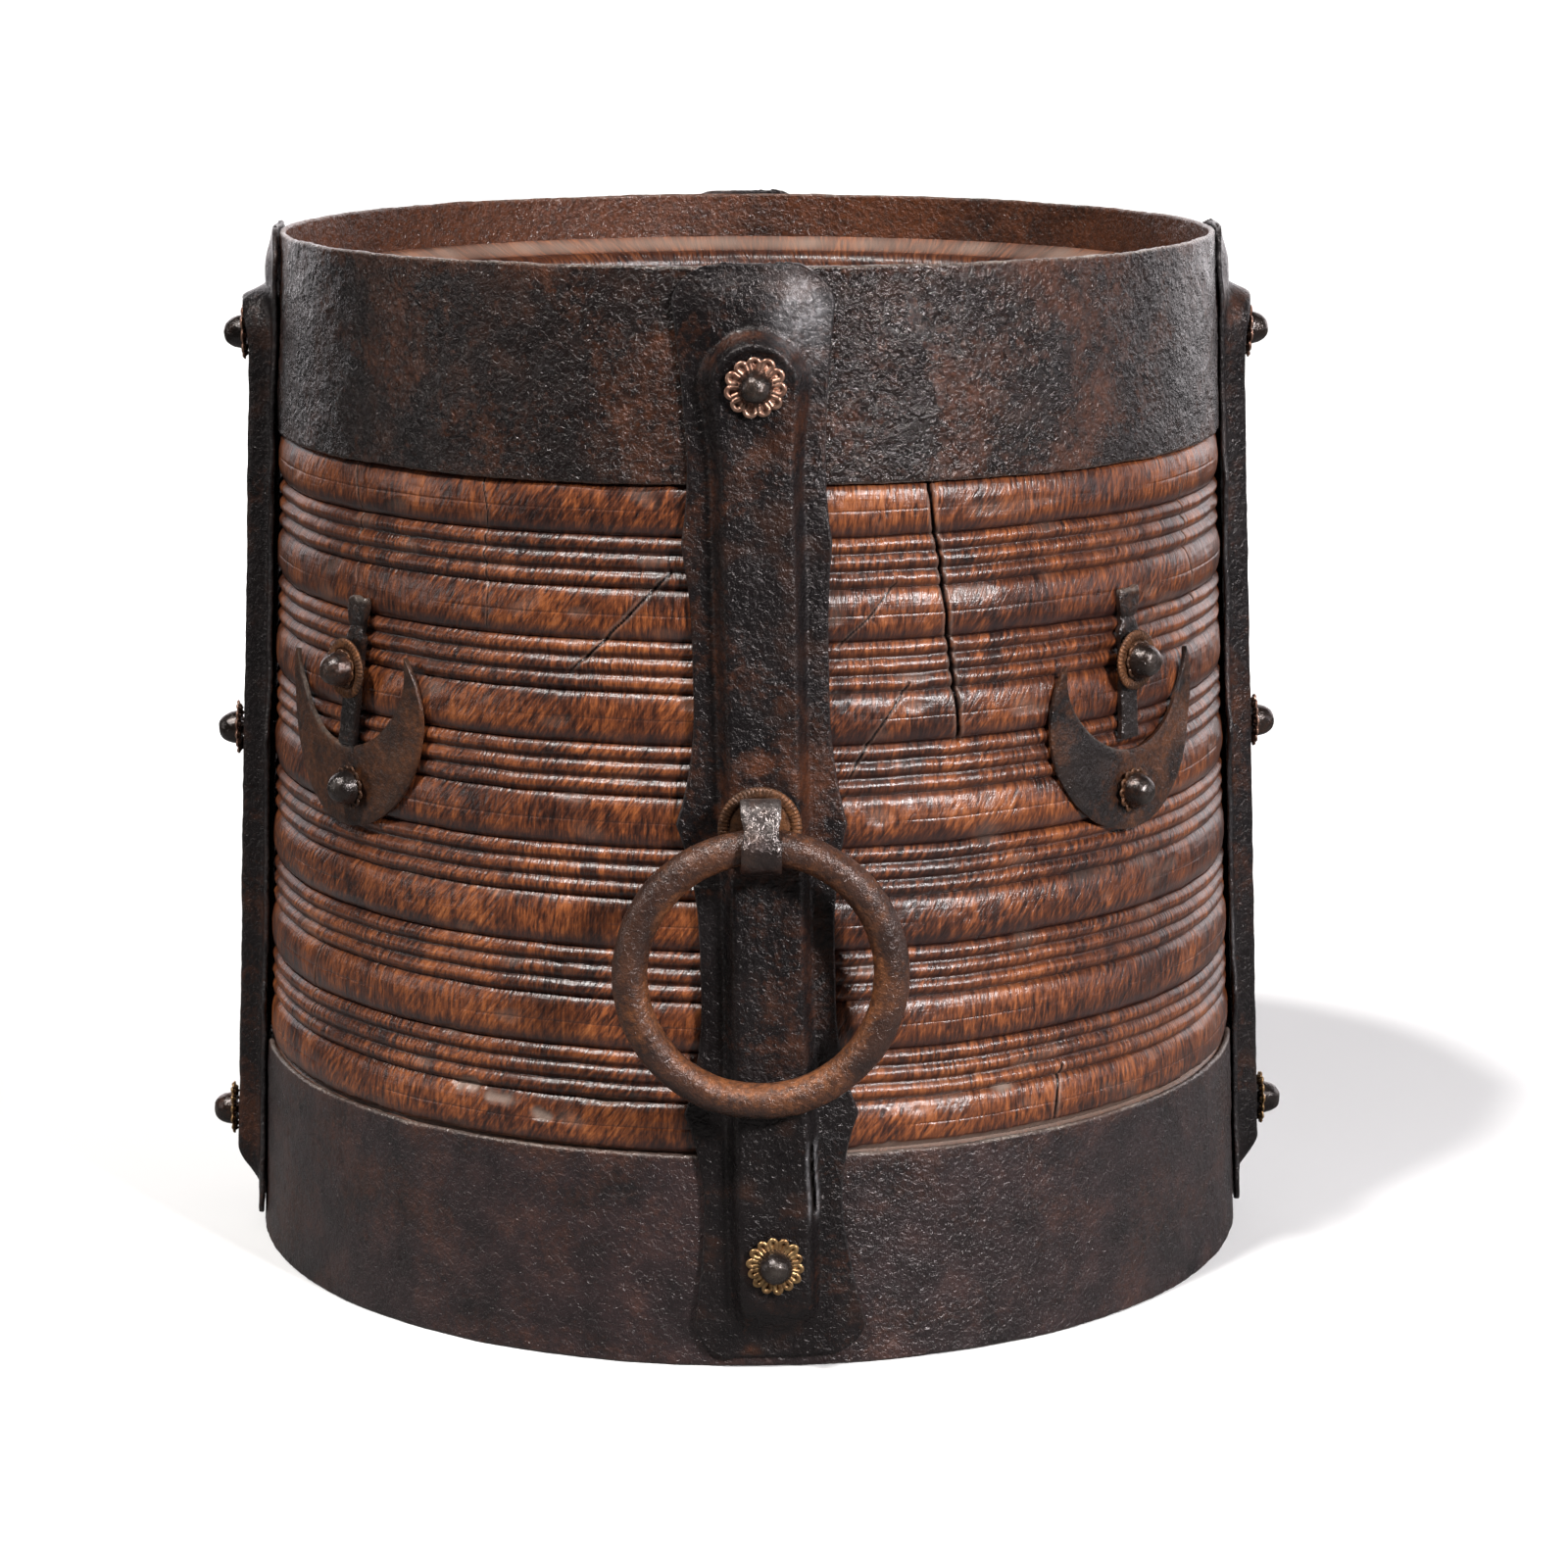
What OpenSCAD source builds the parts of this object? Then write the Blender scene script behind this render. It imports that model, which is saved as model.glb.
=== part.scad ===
// Iron-bound wooden measure: a turned, tapered drum, open at the top, with two iron hoops,
// four iron straps over them, crescent plates between the straps, and a ring handle
// hanging from an eye on the front and the back strap.
// Z is up from the floor, the origin is the centre of the base, and the front faces -Y.

/* [Drum] */
// Height from the floor to the top edge of the rim hoop
drum_h = 394; // [370:1:470]
// Outside diameter of the rim hoop at its top edge
rim_d = 360; // [330:1:430]
// Outside diameter of the base hoop at the floor
base_d = 391; // [370:1:465]
// Thickness of the wooden wall
wall_t = 20; // [16:0.5:26]
// Depth of the wood's upper edge below the top of the rim hoop
rim_drop = 18; // [12:1:24]
// Width of the bevel inside the wood's upper edge
bevel_w = 15; // [8:0.5:15]
// Drop of that bevel across its width
bevel_drop = 9; // [4:0.5:14]
// Thickness of the bottom board
board_t = 18; // [12:1:24]
// Height of the bottom board's underside above the floor
board_lift = 6; // [3:1:10]
// Width of the step that the bottom board sits in
board_step = 7; // [4:0.5:9]

/* [Turned beads] */
// Number of broad bands between the hoops
band_count = 7; // [4:1:9]
// Number of fine beads between two broad bands
bead_count = 3; // [2:1:4]
// Height of the turned beads above the groove beside them
bead_h = 2.2; // [1:0.1:3]
// Height of the crown of a broad band above its edges
band_crown = 1.6; // [0.5:0.1:2.4]
// How far the highest wood lies behind the hoops' outer face
wood_set = 1.2; // [0.8:0.1:3]

/* [Hoops] */
// Height of the rim hoop
rim_hoop_h = 76; // [56:1:90]
// Height of the base hoop
base_hoop_h = 78; // [64:1:90]
// Thickness of the hoops' iron
hoop_t = 2.4; // [1.5:0.1:4]

/* [Straps] */
// Width of a strap at its waists
strap_w = 49; // [44:1:60]
// Thickness of the straps' iron
strap_t = 2.2; // [1.5:0.1:3]
// Width of the raised spine
spine_w = 30; // [26:0.5:34]
// Height of the spine's outer face above the hoops
spine_h = 11; // [8:0.5:15]
// Height of a strap's top above the rim hoop
strap_over = 1.5; // [0:0.5:3]
// Height of a strap's foot above the floor
strap_lift = 5; // [3:1:10]
// Lean of the front and back straps from the vertical
strap_lean = 1.15; // [0:0.05:2]

/* [Ring handles] */
// Outside diameter of a ring
ring_d = 105; // [90:1:120]
// Diameter of a ring's bar
ring_bar = 13.2; // [10:0.2:16]
// Height of the hinge line above the floor
ring_z = 196; // [170:1:225]
// Width of an eye's band
eye_w = 15; // [12:0.5:18]
// Thickness of an eye's band
eye_t = 2.2; // [1.6:0.1:2.8]
// Diameter of the washer under an eye
eye_washer_d = 28; // [24:0.5:32]
// Sideways place of the eyes on their straps
eye_side = -2; // [-4:0.5:4]

/* [Crescents] */
// Radius of a crescent's outer edge
crescent_r = 42.5; // [36:0.5:50]
// Radius of a crescent's inner edge
crescent_inner_r = 37; // [32:0.5:44]
// Rise of the inner edge's centre above the outer edge's
crescent_rise = 24; // [18:1:28]
// Height of a crescent's lowest edge above the floor
crescent_z = 183.5; // [160:0.5:200]
// Thickness of the crescents' iron
crescent_t = 2; // [1.5:0.1:3]
// Angle from the front strap to the crescent on its left
crescent_left = 52; // [40:1:55]
// Angle from the front strap to the crescent on its right
crescent_right = 46; // [40:1:55]
// Sideways place of the left crescent's plate from its nail
crescent_aside_left = -5.5; // [-7:0.5:7]
// Sideways place of the right crescent's plate from its nail
crescent_aside_right = 2.5; // [-7:0.5:7]
// Tilt of the left crescent's plate
crescent_tilt_left = 5; // [-8:0.5:8]
// Tilt of the right crescent's plate
crescent_tilt_right = -2; // [-8:0.5:8]

/* [Posts] */
// Height of the upright bar between a crescent's horns
post_h = 56; // [48:1:64]
// Width of that bar
post_w = 11; // [8:0.5:14]
// Thickness of that bar
post_t = 3; // [2:0.2:4]
// Diameter of the milled disc on the bar
post_washer_d = 21; // [18:0.5:24]
// Lean of the left post's top towards the front strap
post_lean_left = 7; // [-8:0.5:8]
// Lean of the right post's top towards the side strap
post_lean_right = 1; // [-8:0.5:8]
// How far the left post sits below the middle height, and the right one above it
post_shift = 2; // [0:0.5:2]

/* [Nails] */
// Diameter of a nail's domed head
nail_head_d = 13; // [10:0.5:15]
// Height of a nail's domed head
nail_head_h = 8.5; // [6:0.5:10]
// Diameter of a nail's shank
nail_d = 4.6; // [3.5:0.1:5.5]
// Diameter of a rosette washer
rosette_d = 22; // [18:0.5:24]
// Number of petals on a rosette washer
petals = 13; // [10:1:16]

/* [Hidden] */
fit = 0.15;                 // clearance between pieces that are driven or laid together
hole_fit = 0.3;             // clearance round a shank or a leg in its hole
seat_gap = 0.3;             // gap under a plate that lies on a curved wall
washer_t = 1.4;             // thickness of a rosette or milled disc
eye_washer_t = 1.6;
swing_gap = 1.6;            // least gap between a hanging ring and the strap behind it
clench = 9;                 // length of a nail's tip, bent over inside
rove_t = 2;                 // thickness of the plate under an eye's legs, inside
rove_w = 24;
seam_turn = 40;             // turns a hole's own seam away from the edges that it cuts
$fn = 64;

rim_lip = 3;                // radius that rounds the inner edge of the wood's top
nail_high = 40;             // upper nails, below the rim
nail_low = 42;              // lower nails, above the floor
body_z0 = base_hoop_h;
body_z1 = drum_h - rim_hoop_h;
period = (body_z1 - body_z0) / (2 * band_count - 1) * 2;
band_h = period / 2;
bead_p = band_h / bead_count;

ring_r = (ring_d - ring_bar) / 2;                       // radius of the ring's centre line
eye_sag = ring_r - sqrt(ring_r * ring_r - eye_w * eye_w / 4);
eye_r = ring_bar / 2 + eye_sag + 0.6;                   // inner radius of the eye's lower bend
eye_rise = 9;                                           // play above the ring's bar in the eye
eye_step = 2.5;                                         // how much tighter its upper bend is
eye_mid = ring_z + eye_rise / 2;
eye_seat = spine_face(eye_mid, eye_washer_d / 2) + eye_washer_t;
ring_clear = widest_r(ring_z - ring_r, ring_r) + spine_h + swing_gap + ring_bar / 2;
ring_y = max(ring_clear, eye_seat + fit + eye_t + eye_r);
rove_y = sqrt(pow(narrowest_r(eye_mid, rove_w / 2), 2) - pow(rove_w / 2 + abs(eye_side), 2)) - fit;

strap_z0 = strap_lift;
strap_z1 = drum_h + strap_over;
strap_mid = (strap_z0 + strap_z1) / 2;
spine_z0 = strap_z0 + 5;
spine_z1 = drum_h - 22;
foot_ramp = 14;             // length of the slope at the foot of a spine
side_nail_mid = 0.5 * (nail_low + drum_h - nail_high);

function hoop_r(z) = base_d / 2 + (rim_d - base_d) / 2 * z / drum_h;   // outer face of the hoops
function wood_r(z) = hoop_r(z) - wood_set;                             // highest wood between them
function inner_r(z) = hoop_r(z) - hoop_t - fit - wall_t;               // inside of the wall
// Widest outside and narrowest inside within half a piece's height of its middle
function widest_r(z, half) = max(hoop_r(z - half), hoop_r(z + half));
function narrowest_r(z, half) = min(inner_r(z - half), inner_r(z + half));
// Inner face of a flat disc that stands on the sloping spine
function spine_face(z, half) = widest_r(z, half) + spine_h + fit;
function lean_x(z) = -(z - strap_mid) * tan(strap_lean);
function bump(d, half, rise) = abs(d) < half ? rise * pow(1 - abs(d) / half, 2) : 0;
function arc(cx, cy, r, a0, a1, n) =
    [for (i = [0:n]) [cx + r * cos(a0 + (a1 - a0) * i / n), cy + r * sin(a0 + (a1 - a0) * i / n)]];

// Half width of a strap: waists, three pairs of wing tips, a wide head and a splayed foot
tip_zs = [drum_h - 96, ring_z + 3, base_hoop_h + 16];
tip_rises = [1.6, 5, 6];
tip_reach = 46;
head_rise = 4.5;
foot_rise = 5;
corner = 11;                // radius of the head's and foot's corners
function strap_half(z) = strap_w / 2
    + bump(z - tip_zs[0], tip_reach, tip_rises[0])
    + bump(z - tip_zs[1], tip_reach, tip_rises[1])
    + bump(z - tip_zs[2], tip_reach, tip_rises[2])
    + bump(z - strap_z1 + corner, 70, head_rise)
    + bump(z - strap_z0 - corner, 62, foot_rise);

crescent_mid = crescent_z + crescent_r;
horn_z = (crescent_r * crescent_r - crescent_inner_r * crescent_inner_r
    + crescent_rise * crescent_rise) / (2 * crescent_rise);
horn_x = sqrt(crescent_r * crescent_r - horn_z * horn_z);
crescent_bite = crescent_rise - crescent_inner_r;       // lowest inner edge, from the outer centre
crescent_nail_z = crescent_mid + (crescent_bite - crescent_r) / 2 + 0.5;
post_gap = 3.5;             // from the crescent's lowest inner edge to the middle height of a post's foot
post_z0 = crescent_mid + crescent_bite + post_gap;
post_disc_z = post_z0 + post_h * 0.52;
corners = [-crescent_left, crescent_right, 180 - crescent_left, 180 + crescent_right];
corner_asides = [crescent_aside_left, crescent_aside_right, crescent_aside_left, crescent_aside_right];
corner_tilts = [crescent_tilt_left, crescent_tilt_right, crescent_tilt_left, crescent_tilt_right];
post_leans = [post_lean_left, post_lean_right, post_lean_left, post_lean_right];
post_lifts = [-post_shift, post_shift, -post_shift, post_shift];

// Turned profile of one broad band: edges down, crown in the middle
function band_points(z0) = [for (i = [0:6])
    let (z = z0 + band_h * i / 6) [wood_r(z) - band_crown * pow(abs(i - 3) / 3, 2), z]];
// Turned profile of one group of fine beads: half-round beads with grooves between them
function bead_points(z0) = [for (b = [0:bead_count - 1], i = [0:5])
    let (z = z0 + bead_p * (b + (i + 0.5) / 6))
    [wood_r(z) - band_crown * 0.4 - bead_h * (1 - sin(180 * (i + 0.5) / 6)), z]];
function wood_points() = [for (k = [0:band_count - 1])
    each concat(band_points(body_z0 + k * period),
        k < band_count - 1 ? bead_points(body_z0 + k * period + band_h) : [])];

// A wall between two offsets from the hoops' outer face, over part of the way round
module shell(off0, off1, z0, z1, half_angle) {
    rotate_extrude(angle = 2 * half_angle, start = -90 - half_angle)
        polygon([
            [hoop_r(z0) + off0, z0], [hoop_r(z0) + off1, z0],
            [hoop_r(z1) + off1, z1], [hoop_r(z1) + off0, z1]
        ]);
}

// A flat outline, x across and y up, pushed out through the wall at the front
module outwards(y0 = 100) {
    translate([0, -y0, 0])
        rotate([90, 0, 0])
            linear_extrude(height = 160)
                children();
}

module shank_hole(x, z, d) {
    translate([x, -base_d, z])
        rotate([-90, 0, 0])
            rotate(seam_turn)
                cylinder(h = base_d - 100, d = d);
}

module leg_slot(gap = 0) {
    translate([eye_side - eye_w / 2 - gap, -base_d, eye_mid - eye_t - gap])
        cube([eye_w + 2 * gap, base_d - 100, 2 * (eye_t + gap)]);
}

// ---- drum ----

board_top = board_lift + board_t;
board_r = inner_r(board_top) + board_step;              // radius of the step that the board sits in

module drum_wall() {
    top_z = drum_h - rim_drop;
    top_r = hoop_r(top_z) - hoop_t - fit;
    bed = hoop_t + fit;
    lip_z = top_z - bevel_drop;
    color([0.42, 0.2, 0.1])
        difference() {
            rotate_extrude()
                polygon(concat(
                    [[board_r, 0], [hoop_r(0) - bed, 0]],
                    [[hoop_r(body_z0) - bed, body_z0]],
                    wood_points(),
                    [[hoop_r(body_z1) - bed, body_z1]],
                    [[top_r, top_z], [top_r - bevel_w, lip_z]],
                    [[inner_r(lip_z - rim_lip), lip_z - rim_lip]],
                    [[inner_r(board_top), board_top], [board_r, board_top]]
                ));
            for (a = [0, 180]) rotate([0, 0, a]) {
                shank_hole(lean_x(drum_h - nail_high), drum_h - nail_high, nail_d + 2 * hole_fit);
                shank_hole(lean_x(nail_low), nail_low, nail_d + 2 * hole_fit);
                leg_slot(hole_fit);
            }
            for (a = [90, 270], z = side_nails()) rotate([0, 0, a])
                shank_hole(0, z, nail_d + 2 * hole_fit);
            for (k = [0:3], z = [crescent_nail_z, disc_z(k)]) rotate([0, 0, corners[k]])
                shank_hole(0, z, nail_d + 2 * hole_fit);
        }
}

function disc_z(k) = post_disc_z + post_lifts[k];
function side_nails() = [nail_low, side_nail_mid, drum_h - nail_high];

module bottom_board() {
    color([0.34, 0.17, 0.09])
        translate([0, 0, board_lift])
            cylinder(h = board_t - fit, r = board_r - fit);
}

module hoop(z0, z1, nail_zs, lean_zs) {
    difference() {
        rotate_extrude()
            polygon([
                [hoop_r(z0) - hoop_t, z0], [hoop_r(z0), z0],
                [hoop_r(z1), z1], [hoop_r(z1) - hoop_t, z1]
            ]);
        for (a = [0, 180], z = lean_zs) rotate([0, 0, a])
            shank_hole(lean_x(z), z, nail_d + 2 * hole_fit);
        for (a = [90, 270], z = nail_zs) rotate([0, 0, a])
            shank_hole(0, z, nail_d + 2 * hole_fit);
    }
}

module rim_hoop() {
    color([0.13, 0.1, 0.09]) hoop(body_z1, drum_h, [drum_h - nail_high], [drum_h - nail_high]);
}

module base_hoop() {
    color([0.14, 0.11, 0.1]) hoop(0, body_z0, [nail_low], [nail_low]);
}

// ---- straps ----

module strap_outline() {
    steps = 48;
    z0 = strap_z0 + corner;
    z1 = strap_z1 - corner;
    side = [for (i = [0:steps]) let (z = z0 + (z1 - z0) * i / steps) [strap_half(z), z]];
    half_foot = strap_half(z0);
    half_head = strap_half(z1);
    foot = arc(half_foot - corner, z0, corner, -90, -15, 5);
    head = arc(half_head - corner, z1, corner, 15, 90, 5);
    right = concat(foot, side, head);
    polygon(concat(right, [for (i = [len(right) - 1:-1:0]) [-right[i][0], right[i][1]]]));
}

module spine_outline(inset) {
    half = spine_w / 2 - inset;
    polygon(concat(
        [[-half, spine_z0 + inset], [half, spine_z0 + inset]],
        arc(0, spine_z1 - half - inset, half, 0, 180, 16)
    ));
}

// Section of the spine's outer face along the strap: sloped at the foot, eased at the head
module spine_shell(inset) {
    z0 = spine_z0 + inset;
    z1 = spine_z1 - inset;
    top = spine_h - inset;
    low = seat_gap + strap_t / 2;
    rotate_extrude(angle = 30, start = -105)
        polygon([
            [hoop_r(z0) + low, z0],
            [hoop_r(z0 + foot_ramp) + top, z0 + foot_ramp],
            [hoop_r(z1 - 16) + top, z1 - 16],
            [hoop_r(z1) + top - 4, z1],
            [hoop_r(z1) + low, z1]
        ]);
}

module strap(lean, nail_zs, with_eye) {
    half_angle = 14;
    difference() {
        union() {
            intersection() {
                shell(seat_gap, seat_gap + strap_t, strap_z0 - 5, strap_z1 + 5, half_angle);
                outwards() translate([0, strap_mid]) rotate(lean) translate([0, -strap_mid])
                    strap_outline();
            }
            intersection() {
                spine_shell(0);
                outwards() translate([0, strap_mid]) rotate(lean) translate([0, -strap_mid])
                    spine_outline(0);
            }
        }
        intersection() {
            spine_cavity();
            outwards() translate([0, strap_mid]) rotate(lean) translate([0, -strap_mid])
                spine_outline(strap_t);
        }
        for (z = nail_zs)
            shank_hole(lean > 0 ? lean_x(z) : 0, z, nail_d + 2 * hole_fit);
        if (with_eye) leg_slot(hole_fit);
    }
}

// The hollow behind the spine, open towards the wood
module spine_cavity() {
    z0 = spine_z0 + strap_t;
    z1 = spine_z1 - strap_t;
    top = spine_h - strap_t;
    rotate_extrude(angle = 30, start = -105)
        polygon([
            [hoop_r(z0) - 2, z0],
            [hoop_r(z0) + seat_gap, z0],
            [hoop_r(z0 + foot_ramp) + top, z0 + foot_ramp],
            [hoop_r(z1 - 16) + top, z1 - 16],
            [hoop_r(z1) + top - 4, z1],
            [hoop_r(z1) - 2, z1]
        ]);
}

end_nails = [nail_low, drum_h - nail_high];

module strap_front() { color([0.12, 0.1, 0.09]) strap(strap_lean, end_nails, true); }
module strap_back() { color([0.12, 0.1, 0.09]) rotate([0, 0, 180]) strap(strap_lean, end_nails, true); }
module strap_right() { color([0.12, 0.1, 0.09]) rotate([0, 0, 90]) strap(0, side_nails(), false); }
module strap_left() { color([0.12, 0.1, 0.09]) rotate([0, 0, 270]) strap(0, side_nails(), false); }

// ---- crescents and posts ----

plate_seat = seat_gap - wood_set;       // inner face of a plate that lies on the wood

module crescent_outline() {
    tip = atan2(horn_z, horn_x);
    inner_tip = atan2(horn_z - crescent_rise, horn_x);
    polygon(concat(
        arc(0, crescent_mid, crescent_r, -180 - tip, tip, 48),
        arc(0, crescent_mid + crescent_rise, crescent_inner_r, inner_tip, -180 - inner_tip, 40)
    ));
}

module crescent(k) {
    rotate([0, 0, corners[k]])
        difference() {
            intersection() {
                shell(plate_seat, plate_seat + crescent_t, crescent_z - 5, crescent_z + 100, 22);
                outwards()
                    translate([corner_asides[k], crescent_mid])
                        rotate(corner_tilts[k])
                            translate([0, -crescent_mid])
                                crescent_outline();
            }
            shank_hole(0, crescent_nail_z, nail_d + 2 * hole_fit);
        }
}

module crescent_front_left() { color([0.2, 0.13, 0.1]) crescent(0); }
module crescent_front_right() { color([0.2, 0.13, 0.1]) crescent(1); }
module crescent_back_right() { color([0.2, 0.13, 0.1]) crescent(2); }
module crescent_back_left() { color([0.2, 0.13, 0.1]) crescent(3); }

// Upright bar with a notched neck near its top
module post_outline() {
    half = post_w / 2;
    neck_z = post_z0 + post_h - 12;
    top_z = post_z0 + post_h;
    right = [
        [half - 1, post_z0], [half - 2, post_z0 + 3], [half - 1.5, neck_z - 8],
        [half, neck_z - 3], [half - 2, neck_z], [half, neck_z + 3], [half - 1, top_z]
    ];
    polygon(concat(right, [for (i = [len(right) - 1:-1:0]) [-right[i][0], right[i][1]]]));
}

module post(k) {
    rotate([0, 0, corners[k]])
        difference() {
            intersection() {
                shell(plate_seat, plate_seat + post_t, post_z0 - 10, post_z0 + 100, 12);
                outwards()
                    translate([0, disc_z(k)])
                        rotate(-post_leans[k])
                            translate([0, -post_disc_z])
                                post_outline();
            }
            shank_hole(0, disc_z(k), nail_d + 2 * hole_fit);
        }
}

module post_front_left() { color([0.2, 0.13, 0.1]) post(0); }
module post_front_right() { color([0.2, 0.13, 0.1]) post(1); }
module post_back_right() { color([0.2, 0.13, 0.1]) post(2); }
module post_back_left() { color([0.2, 0.13, 0.1]) post(3); }

// Disc facing outwards with its inner face at a distance from the axis
module disc_out(x, y, z, d, t, hole) {
    translate([x, -y, z])
        rotate([90, 0, 0])
            difference() {
                cylinder(h = t, d = d);
                translate([0, 0, -1]) cylinder(h = t + 2, d = hole);
            }
}

module post_washers() {
    color([0.34, 0.2, 0.12])
        for (k = [0:3]) rotate([0, 0, corners[k]])
            disc_out(0, post_face(k), disc_z(k), post_washer_d, washer_t, nail_d + 2 * hole_fit);
}

function post_face(k) = widest_r(disc_z(k), post_washer_d / 2) + plate_seat + post_t + fit;
function crescent_face() = widest_r(crescent_nail_z, rosette_d / 2) + plate_seat + crescent_t + fit;

// ---- ring handles ----

// Outline of the eye, x out from the axis: a wide lower bend round the bar, a tighter upper one
module eye_loop(grow) {
    turn = atan2(eye_rise, -eye_step) - acos(eye_step / norm([eye_rise, eye_step]));
    polygon(concat(
        arc(ring_y, ring_z, eye_r + grow, -180, turn, 30),
        arc(ring_y - eye_step, ring_z + eye_rise, eye_r - eye_step + grow, turn, 180, 20)
    ));
}

// Band bent round the ring's bar, its two legs driven through the wall and spread inside
module eye() {
    foot_y = rove_y - rove_t - fit;
    foot_l = 9;
    translate([eye_side + eye_w / 2, 0, 0])
        rotate([90, 0, -90])
            linear_extrude(height = eye_w)
                difference() {
                    union() {
                        eye_loop(eye_t);
                        translate([foot_y - eye_t, eye_mid - eye_t])
                            square([ring_y - foot_y, 2 * eye_t]);
                        translate([foot_y - eye_t, eye_mid - eye_t - foot_l])
                            square([eye_t, 2 * (eye_t + foot_l)]);
                    }
                    eye_loop(0);
                }
}

module eye_front() { color([0.2, 0.15, 0.13]) eye(); }
module eye_back() { color([0.2, 0.15, 0.13]) rotate([0, 0, 180]) eye(); }

module eye_washer() {
    difference() {
        disc_out(eye_side, eye_seat - eye_washer_t, eye_mid, eye_washer_d, eye_washer_t, 1);
        leg_slot(hole_fit);
    }
}

module eye_washer_front() { color([0.36, 0.2, 0.11]) eye_washer(); }
module eye_washer_back() { color([0.36, 0.2, 0.11]) rotate([0, 0, 180]) eye_washer(); }

module eye_plate() {
    difference() {
        translate([eye_side - rove_w / 2, -rove_y, eye_mid - rove_w / 2])
            cube([rove_w, rove_t, rove_w]);
        leg_slot(hole_fit);
    }
}

module eye_plate_front() { color([0.17, 0.12, 0.1]) eye_plate(); }
module eye_plate_back() { color([0.17, 0.12, 0.1]) rotate([0, 0, 180]) eye_plate(); }

module ring() {
    translate([eye_side, -ring_y, ring_z - ring_r])
        rotate([90, 0, 0])
            rotate_extrude()
                translate([ring_r, 0])
                    circle(d = ring_bar);
}

module ring_front() { color([0.25, 0.15, 0.11]) ring(); }
module ring_back() { color([0.25, 0.15, 0.11]) rotate([0, 0, 180]) ring(); }

// ---- nails and rosettes ----

// Domed head with its flat at distance y from the axis, and a shank of length l behind it
module nail(x, y, z, l, clenched) {
    translate([x, -y, z])
        rotate([90, 0, 0]) {
            rotate_extrude()
                polygon(concat([[0, 0]], [for (i = [0:12])
                    [nail_head_d / 2 * pow(cos(7.5 * i), 0.8), nail_head_h * sin(7.5 * i)]]));
            translate([0, 0, -l]) cylinder(h = l + 1, d = nail_d);
        }
    if (clenched)
        translate([x, -y + l - nail_d / 2, z - clench])
            cylinder(h = clench, d1 = nail_d * 0.5, d2 = nail_d * 0.9);
}

module strap_nail(x, z) {
    y = spine_face(z, rosette_d / 2) + washer_t + fit;
    nail(x, y, z, y - narrowest_r(z - clench / 2, clench / 2) + 2 * fit + nail_d, true);
}

module end_nail_set() { for (z = end_nails) strap_nail(lean_x(z), z); }
module side_nail_set() { for (z = side_nails()) strap_nail(0, z); }

module nails_front() { color([0.17, 0.13, 0.11]) end_nail_set(); }
module nails_back() { color([0.17, 0.13, 0.11]) rotate([0, 0, 180]) end_nail_set(); }
module nails_right() { color([0.17, 0.13, 0.11]) rotate([0, 0, 90]) side_nail_set(); }
module nails_left() { color([0.17, 0.13, 0.11]) rotate([0, 0, 270]) side_nail_set(); }

module rosette(x, y, z) {
    core = rosette_d / 2 - 2.5;
    translate([x, -y, z])
        rotate([90, 0, 0])
            linear_extrude(height = washer_t)
                difference() {
                    union() {
                        circle(r = core);
                        for (i = [0:petals - 1])
                            rotate(i * 360 / petals) translate([core - 0.3, 0]) circle(r = 2.8);
                    }
                    circle(d = nail_d + 2 * hole_fit);
                }
}

module end_rosettes() { for (z = end_nails) rosette(lean_x(z), spine_face(z, rosette_d / 2), z); }
module side_rosettes() { for (z = side_nails()) rosette(0, spine_face(z, rosette_d / 2), z); }

module rosettes_front() { color([0.55, 0.35, 0.2]) end_rosettes(); }
module rosettes_back() { color([0.55, 0.35, 0.2]) rotate([0, 0, 180]) end_rosettes(); }
module rosettes_right() { color([0.55, 0.35, 0.2]) rotate([0, 0, 90]) side_rosettes(); }
module rosettes_left() { color([0.55, 0.35, 0.2]) rotate([0, 0, 270]) side_rosettes(); }

short_nail = wall_t * 0.7;              // driven into the wood and not through it

module crescent_nails() {
    color([0.2, 0.15, 0.12])
        for (a = corners) rotate([0, 0, a])
            nail(0, crescent_face() + washer_t + fit, crescent_nail_z, short_nail, false);
}

module crescent_rosettes() {
    color([0.36, 0.22, 0.14])
        for (a = corners) rotate([0, 0, a])
            rosette(0, crescent_face(), crescent_nail_z);
}

module post_nails() {
    color([0.2, 0.15, 0.12])
        for (k = [0:3]) rotate([0, 0, corners[k]])
            nail(0, post_face(k) + 2 * washer_t + 2 * fit, disc_z(k), short_nail, false);
}

module post_rosettes() {
    color([0.36, 0.22, 0.14])
        for (k = [0:3]) rotate([0, 0, corners[k]])
            disc_out(0, post_face(k) + washer_t + fit, disc_z(k), post_washer_d * 0.72,
                washer_t, nail_d + 2 * hole_fit);
}

drum_wall();
bottom_board();
rim_hoop();
base_hoop();
strap_front();
strap_right();
strap_back();
strap_left();
crescent_front_left();
crescent_front_right();
crescent_back_right();
crescent_back_left();
post_front_left();
post_front_right();
post_back_right();
post_back_left();
post_washers();
eye_front();
eye_back();
eye_washer_front();
eye_washer_back();
eye_plate_front();
eye_plate_back();
ring_front();
ring_back();
nails_front();
nails_right();
nails_back();
nails_left();
rosettes_front();
rosettes_right();
rosettes_back();
rosettes_left();
crescent_nails();
crescent_rosettes();
post_nails();
post_rosettes();
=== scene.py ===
import math

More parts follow.
